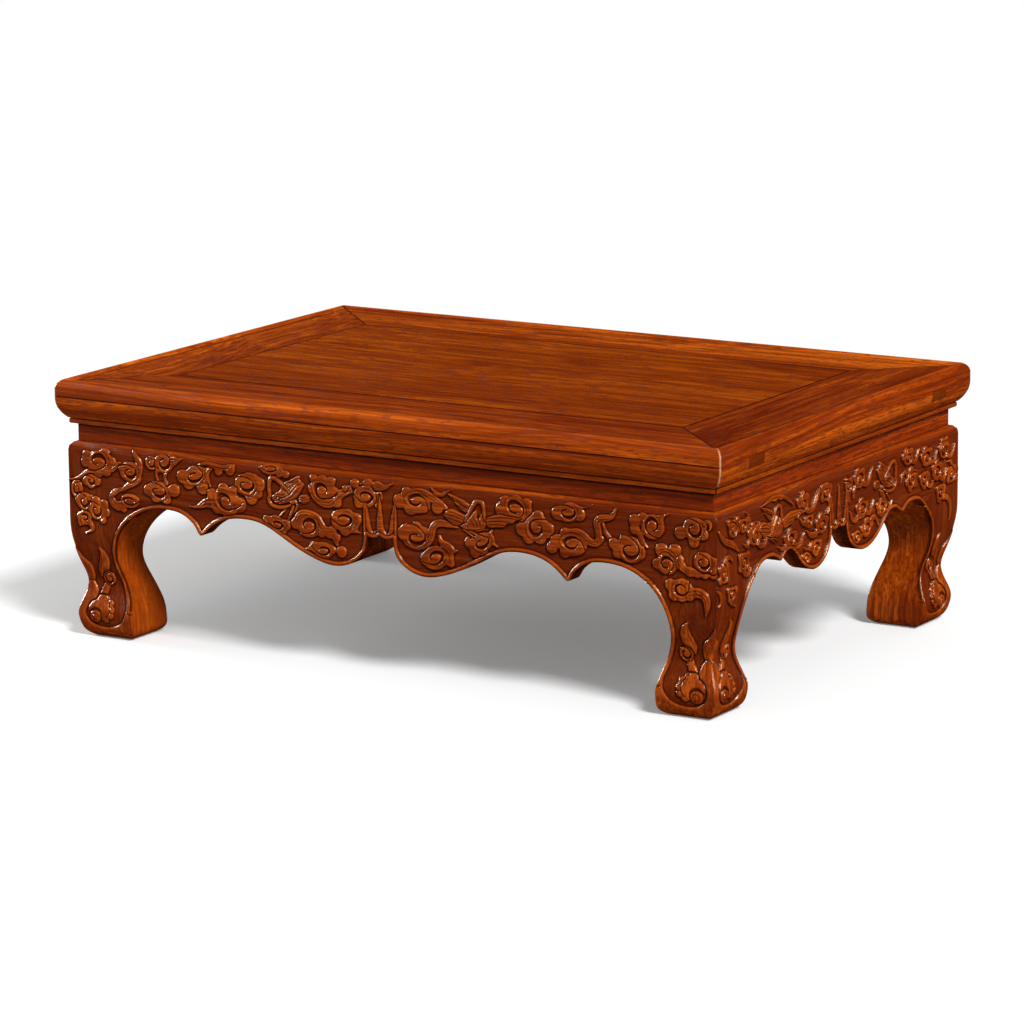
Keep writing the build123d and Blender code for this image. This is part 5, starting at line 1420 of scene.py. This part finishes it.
class KANG_PG_stage(bpy.types.PropertyGroup):
    """The studio: its lamps, its floor and its camera."""
    key: bpy.props.FloatProperty(
        name="Key", description="Strength of the key lamp", default=3.2, min=0, max=10)
    strip: bpy.props.FloatProperty(
        name="Strip", description="Power of the strip lamp beside the table", default=300, min=0, max=1000,
        subtype="POWER", unit="POWER")
    fill: bpy.props.FloatProperty(
        name="Fill", description="Strength of the light from all round", default=0.42, min=0, max=4)
    distance: bpy.props.FloatProperty(
        name="Camera distance", description="From the camera to the point that it looks at",
        default=5.8103, min=1, max=20, subtype="DISTANCE", unit="LENGTH")


# ---- The pieces ---------------------------------------------------------------------------------
RELIEFS = {}


def side_relief(side):
    """The relief of a side, carved once and kept for the pieces that share it."""
    key = "long" if side in ("front", "back") else "short"
    if key not in RELIEFS:
        long_side = key == "long"
        relief = carve_side(HALF_LENGTH if long_side else HALF_DEPTH, FRONT_EDGE if long_side else SIDE_EDGE,
                            FRONT_CLOUDS if long_side else SIDE_CLOUDS,
                            front_extras if long_side else side_extras)
        relief.blurred = blurred_relief(relief)
        relief.depth_share = bpy.context.scene.kang_carving.depth / (SINK * MM)
        RELIEFS[key] = relief
    return RELIEFS[key]


def dress(node, material):
    """Gives a node of the frame its wood and softens its sharp arrises a little."""
    piece = frame["nodes"][node]
    piece.data.materials.clear()
    piece.data.materials.append(material)
    soften = piece.modifiers.new("Softened arrises", "BEVEL")
    soften.width = 0.45 * MM
    soften.segments = 2
    soften.limit_method = "ANGLE"
    soften.angle_limit = math.radians(40)
    soften.harden_normals = True


# Painted light and painted shade on the plain inner faces of some legs: how much paler or darker they are.
LEG_INNER_PAINTED_LIGHT = {"front_left": -0.4, "back_right": 0.15}

# Painted shade along the waist's top, under the frame's overhang, and along its foot above the aprons, as
# (dark height, clear height, strength), in metres.
WAIST_PAINTED_SHADE = ((0.2572, 0.2552, 0.85), (0.2384, 0.2398, 0.7))

# A small knot and a short plugged check on the front rail's nose, as (place, half sizes, strength).
FRONT_MARKS = (((-0.027, -0.311, 0.304), (0.009, 0.02, 0.006), 0.6),
               ((-0.415, -0.311, 0.300), (0.0014, 0.02, 0.006), 0.85))

# The rails of the frame, as (side, grain, tint).
RAILS = (("front", "x", 0.1), ("back", "x", 0.1), ("left", "y", 0.45), ("right", "y", -0.25))


class KANG_OT_frame(bpy.types.Operator):
    """Mould the eight boards of the mitred top frame, with their through tenons"""
    bl_idname = "kang.frame"
    bl_label = "Top frame"

    def execute(self, context):
        finish = context.scene.kang_finish
        wide, fine = (1.0, 1.6), (0.1, 0.1)
        middle, near, far = 1.0, HALF_DEPTH - TENON_NEAR, HALF_DEPTH - TENON_FAR
        for k, (side, axis, tint) in enumerate(RAILS):
            if axis == "x":
                node = side
                lower = [(middle, lower_section(wide))]
                # a faint line of painted shade at the back rail's cove foot
                upper = [(middle, upper_section(wide, SEAM, 0.5 * (side == "back")))]
            else:
                node = f"{side}_end"
                lower = [(middle, lower_section(fine)), (far, lower_section(fine)),
                         (far, lower_section(fine, True))]
                # a line of painted shade at the left rail's cove foot
                lined = 0.85 * (side == "left")
                upper = [(middle, upper_section(fine, SEAM, lined)), (near, upper_section(fine, SEAM, lined)),
                         (near, upper_section(fine, TENON_FOOT, lined))]
            for m, (part, stops) in enumerate((("_rail", lower), ("_rail_top", upper))):
                points, faces, wear_seams_and_painted_light = rail_mesh(side, stops)
                if axis == "x" and part == "_rail":
                    points, faces = joined((points, faces), tenon(side, -1), tenon(side, 1))
                    wear_seams_and_painted_light = np.concatenate([wear_seams_and_painted_light, np.zeros(len(points) - len(wear_seams_and_painted_light))])
                mesh = build_mesh(node + part, points, faces, {"wear_seams_and_painted_light": wear_seams_and_painted_light})
                material = wood(f"{node}{part}_wood", tinted(finish.frame, tint), axis,
                                0.37 * k + 0.19 * m + 0.1, contrast=1.3, gloss=finish.gloss,
                                wander=0.13 if side == "left" else 0.045,
                                marks=FRONT_MARKS if node + part == "front_rail_top" else ())
                add_piece(f"{node}{part}_moulded", mesh, material, "frame_wood", node + part)
        return {"FINISHED"}


class KANG_OT_panel(bpy.types.Operator):
    """Dress the floating panel and the battens beneath it"""
    bl_idname = "kang.panel"
    bl_label = "Panel and battens"

    def execute(self, context):
        finish = context.scene.kang_finish
        field = [(half - RAIL_WIDTH - PANEL_SEAM) * MM for half in (HALF_LENGTH, HALF_DEPTH)]
        dress("centre_panel", wood("panel_wood", finish.panel, "x", 0.8, gloss=finish.gloss, field=field))
        for k, side in enumerate(("left", "centre", "right")):
            dress(f"{side}_batten", wood(f"{side}_batten_wood", finish.hidden, "y", 0.3 * k, gloss=0.6))
        return {"FINISHED"}


class KANG_OT_waist(bpy.types.Operator):
    """Dress the four recessed waist boards"""
    bl_idname = "kang.waist"
    bl_label = "Waist"

    def execute(self, context):
        finish = context.scene.kang_finish
        for k, (side, axis) in enumerate((("front", "x"), ("back", "x"), ("left", "y"), ("right", "y"))):
            dress(f"{side}_waist", wood(f"{side}_waist_wood", finish.waist, axis, 0.23 * k + 0.5,
                                        gloss=finish.gloss, corners=WAIST_PAINTED_SHADE))
        return {"FINISHED"}


class KANG_OT_aprons(bpy.types.Operator):
    """Carve the four scalloped aprons with their clouds and cranes"""
    bl_idname = "kang.aprons"
    bl_label = "Carved aprons"

    def execute(self, context):
        carving, finish = context.scene.kang_carving, context.scene.kang_finish
        for k, side in enumerate(("front", "right", "back", "left")):
            pitch = (carving.fine if side in ("front", "right") else carving.coarse) / MM
            mesh = apron_mesh(side, side_relief(side), pitch)
            axis = "x" if side in ("front", "back") else "y"
            material = wood(f"{side}_apron_wood", finish.carved, axis, 0.41 * k, carved=True, contrast=1.2,
                            gloss=finish.gloss - 0.03)
            add_piece(f"{side}_apron_carved", mesh, material, "carved_wood", f"{side}_apron")
        return {"FINISHED"}


class KANG_OT_legs(bpy.types.Operator):
    """Carve the four cabriole legs with their mitred shoulders"""
    bl_idname = "kang.legs"
    bl_label = "Carved legs"

    def execute(self, context):
        carving, finish = context.scene.kang_carving, context.scene.kang_finish
        corners = {"front_left": (-1, -1), "front_right": (1, -1), "back_left": (-1, 1), "back_right": (1, 1)}
        for k, (corner, (end_x, end_y)) in enumerate(corners.items()):
            pitch = (carving.fine if corner != "back_left" else carving.coarse) / MM
            mesh = leg_mesh(f"{corner}_leg", (side_relief("front"), side_relief("right")), end_x, end_y,
                            pitch, LEG_INNER_PAINTED_LIGHT.get(corner, 0))
            material = wood(f"{corner}_leg_wood", finish.carved, "z", 0.57 * k, carved=True, contrast=1.2,
                            gloss=finish.gloss - 0.03)
            add_piece(f"{corner}_leg_carved", mesh, material, "carved_wood", f"{corner}_leg")
        return {"FINISHED"}


class KANG_OT_stage(bpy.types.Operator):
    """Set up the pale floor, the soft lamps and the camera"""
    bl_idname = "kang.stage"
    bl_label = "Studio"

    def execute(self, context):
        scene, stage = context.scene, context.scene.kang_stage
        scene.view_settings.view_transform = "Standard"
        make_world(scene, stage.fill)
        make_floor(scene)
        add_sun("key", stage.key, KEY_TOWARD, KEY_SPREAD)
        add_strip("left_strip", stage.strip, *LEFT_STRIP)
        add_strip("right_strip", RIGHT_STRIP_SHARE * stage.strip, *RIGHT_STRIP)
        make_dark_cards(scene)
        make_camera(scene, stage.distance)
        return {"FINISHED"}


# The lamps' places, in metres, and the strips' widths and heights.
KEY_TOWARD, KEY_SPREAD = (0.68, -0.37, 0.72), 16
LEFT_STRIP = ((-2.5, -0.15, 0.8), (1.2, 0.9))
RIGHT_STRIP = ((2.35, 0.5, 1.0), (0.45, 1.0))
RIGHT_STRIP_SHARE = 0.15
STRIP_AIM = (0, 0, 0.25)


def add_sun(name, strength, toward, spread):
    """A key lamp far off, which stands toward a direction and looks some degrees wide."""
    lamp = bpy.data.lights.new(name, "SUN")
    lamp.energy = strength
    lamp.angle = math.radians(spread)
    holder = bpy.data.objects.new(name, lamp)
    holder.rotation_euler = Vector(toward).to_track_quat("Z", "Y").to_euler()
    bpy.context.scene.collection.objects.link(holder)


def add_strip(name, strength, place, size):
    """A soft strip lamp beside the table. It shows in reflections alone and lights no dull surface."""
    lamp = bpy.data.lights.new(name, "AREA")
    lamp.shape = "RECTANGLE"
    lamp.size, lamp.size_y = size
    lamp.energy = strength
    holder = bpy.data.objects.new(name, lamp)
    holder.location = place
    holder.rotation_euler = (Vector(place) - Vector(STRIP_AIM)).to_track_quat("Z", "Y").to_euler()
    holder.visible_diffuse = False
    bpy.context.scene.collection.objects.link(holder)


CARD_REACH, CARD_LIFT, CARD_HEIGHT = 3.2, 0.001, 8.0


def make_dark_cards(scene):
    """Dark cards on the floor and round the studio, which keep the polish from looking milky. They are
    there for reflections alone: they cast no shadow and the camera looks past them."""
    corners = ((1, 1), (-1, 1), (-1, -1), (1, -1))
    rings = [[(CARD_REACH * x, CARD_REACH * y, z) for x, y in corners] for z in (CARD_LIFT, CARD_HEIGHT)]
    faces = [(0, 1, 2, 3)] + [(k, (k + 1) % 4, 4 + (k + 1) % 4, 4 + k) for k in range(4)]
    mesh = bpy.data.meshes.new("dark_cards")
    mesh.from_pydata(sum(rings, []), [], faces)
    cards = bpy.data.objects.new("dark_cards", mesh)
    scene.collection.objects.link(cards)
    n = Nodes("card_black")
    place = n.add("ShaderNodeTexCoord").outputs["Object"]
    grain = n.noise(n.mapped(place, (30, 30, 30)), detail=2).outputs["Fac"]
    n.link(n.ramp(grain, [(0.0, 0.002), (1.0, 0.005)]), n.shader.inputs["Base Color"])
    n.shader.inputs["Roughness"].default_value = 0.95
    n.shader.inputs["Specular IOR Level"].default_value = 0.0
    mesh.materials.append(n.material)
    cards.visible_camera = cards.visible_diffuse = cards.visible_shadow = cards.visible_transmission = False


def make_world(scene, strength):
    """Even light from all round, which shows as plain white wherever it is seen itself."""
    world = bpy.data.worlds.new("studio")
    world.use_nodes = True
    tree = world.node_tree
    ray = add_node(tree, "ShaderNodeLightPath").outputs
    seen = add_node(tree, "ShaderNodeMath", {0: ray["Is Camera Ray"], 1: ray["Is Transmission Ray"]},
                    operation="MAXIMUM")
    seen = add_node(tree, "ShaderNodeMath", {0: seen.outputs[0], 1: ray["Is Glossy Ray"]},
                    operation="MAXIMUM")
    level = add_node(tree, "ShaderNodeMapRange",
                     {"Value": seen.outputs[0], "To Min": strength, "To Max": 1.0})
    background = tree.nodes["Background"]
    background.inputs["Color"].default_value = (1, 1, 1, 1)
    tree.links.new(level.outputs[0], background.inputs["Strength"])
    scene.world = world


FLOOR_RINGS = (0.6, 1.5, 4, 40.0)
FLOOR_DROP = 0.0002
FLOOR_FADE_FROM, FLOOR_FADE_TO = 0.75, 2.2


def make_floor(scene):
    """A pale floor that keeps the table's shadow and runs out to plain white."""
    turn = np.radians(np.arange(0, 360, 4))
    rings = [np.stack([r * np.cos(turn), r * np.sin(turn), 0 * turn], -1) for r in FLOOR_RINGS]
    count = len(turn)
    faces = [tuple(range(count))]
    for k in range(len(FLOOR_RINGS) - 1):
        for m in range(count):
            nxt = (m + 1) % count
            faces.append((k * count + m, (k + 1) * count + m, (k + 1) * count + nxt, k * count + nxt))
    mesh = bpy.data.meshes.new("floor")
    mesh.from_pydata(np.vstack(rings).tolist(), [], faces)
    floor = bpy.data.objects.new("studio_floor", mesh)
    floor.location.z = -FLOOR_DROP
    scene.collection.objects.link(floor)
    n = Nodes("floor_paper")
    place = n.add("ShaderNodeTexCoord").outputs["Object"]
    far = n.add("ShaderNodeVectorMath", {0: place}, operation="LENGTH").outputs["Value"]
    away = n.add("ShaderNodeMapRange", {"Value": far, "From Min": FLOOR_FADE_FROM, "From Max": FLOOR_FADE_TO},
                 interpolation_type="SMOOTHSTEP").outputs[0]
    grain = n.noise(n.mapped(place, (300, 300, 300)), detail=2).outputs["Fac"]
    tone = n.ramp(grain, [(0.0, 0.88), (1.0, 0.91)])
    path = n.add("ShaderNodeLightPath")
    seen = n.math("MAXIMUM", path.outputs["Is Camera Ray"], path.outputs["Is Glossy Ray"])
    seen = n.math("MAXIMUM", seen, path.outputs["Is Transmission Ray"])
    n.link(n.mix(seen, (0.42, 0.39, 0.35), tone), n.shader.inputs["Base Color"])
    n.shader.inputs["Roughness"].default_value = 0.9
    white = n.add("ShaderNodeEmission", {"Color": (1, 1, 1, 1), "Strength": 1.0})
    lift = n.add("ShaderNodeEmission", {"Color": (0.92, 1, 1, 1), "Strength": n.math("MULTIPLY", seen, 0.14)})
    near = n.add("ShaderNodeAddShader", {0: n.shader.outputs[0], 1: lift.outputs[0]})
    both = n.add("ShaderNodeMixShader", {0: n.math("MULTIPLY", away, seen), 1: near.outputs[0],
                                         2: white.outputs[0]})
    output = n.tree.nodes["Material Output"]
    n.link(both.outputs[0], output.inputs["Surface"])
    mesh.materials.append(n.material)


AZIMUTH, ELEVATION, ROLL = 31.3, 11.88, -0.5
LOOK_AT = (-0.01455, 0.01466, 0.13685)
LENS, FILM_WIDTH = 169.885, 36


def make_camera(scene, distance):
    """A long lens a little above the top, before the table's front right corner."""
    azimuth, elevation, roll = (math.radians(v) for v in (AZIMUTH, ELEVATION, ROLL))
    back = Vector((math.sin(azimuth) * math.cos(elevation), -math.cos(azimuth) * math.cos(elevation),
                   math.sin(elevation)))
    level = Vector((0, 0, 1)).cross(back).normalized()
    upright = back.cross(level)
    right = level * math.cos(roll) + upright * math.sin(roll)
    up = upright * math.cos(roll) - level * math.sin(roll)
    data = bpy.data.cameras.new("camera")
    data.lens = LENS
    data.sensor_width = FILM_WIDTH
    data.clip_end = 200
    camera = bpy.data.objects.new("camera", data)
    camera.matrix_world = Matrix.Translation(Vector(LOOK_AT) + back * distance) @ Matrix(
        (right, up, back)).transposed().to_4x4()
    scene.collection.objects.link(camera)
    scene.camera = camera


class KANG_PT_table(bpy.types.Panel):
    """Lists the steps that make the kang table"""
    bl_idname = "KANG_PT_table"
    bl_label = "Kang Table"
    bl_space_type = "VIEW_3D"
    bl_region_type = "UI"
    bl_category = "Kang Table"

    def draw(self, context):
        layout = self.layout
        for group in (context.scene.kang_carving, context.scene.kang_finish, context.scene.kang_stage):
            box = layout.box()
            for name in group.__annotations__:
                box.prop(group, name)
        for operator in OPERATORS:
            layout.operator(operator.bl_idname)


GROUPS = {"kang_carving": KANG_PG_carving, "kang_finish": KANG_PG_finish, "kang_stage": KANG_PG_stage}
OPERATORS = (KANG_OT_frame, KANG_OT_panel, KANG_OT_waist, KANG_OT_aprons, KANG_OT_legs, KANG_OT_stage)


def register():
    """Makes the table's settings and steps known to Blender."""
    for each in (*GROUPS.values(), *OPERATORS, KANG_PT_table):
        bpy.utils.register_class(each)
    for name, group in GROUPS.items():
        setattr(bpy.types.Scene, name, bpy.props.PointerProperty(type=group))


def unregister():
    """Takes them out again."""
    for name in GROUPS:
        delattr(bpy.types.Scene, name)
    for each in reversed((*GROUPS.values(), *OPERATORS, KANG_PT_table)):
        bpy.utils.unregister_class(each)


def main():
    """Makes the whole table and its studio."""
    register()
    bpy.ops.kang.frame()
    bpy.ops.kang.panel()
    bpy.ops.kang.waist()
    bpy.ops.kang.aprons()
    bpy.ops.kang.legs()
    bpy.ops.kang.stage()


if __name__ == "__main__":
    main()
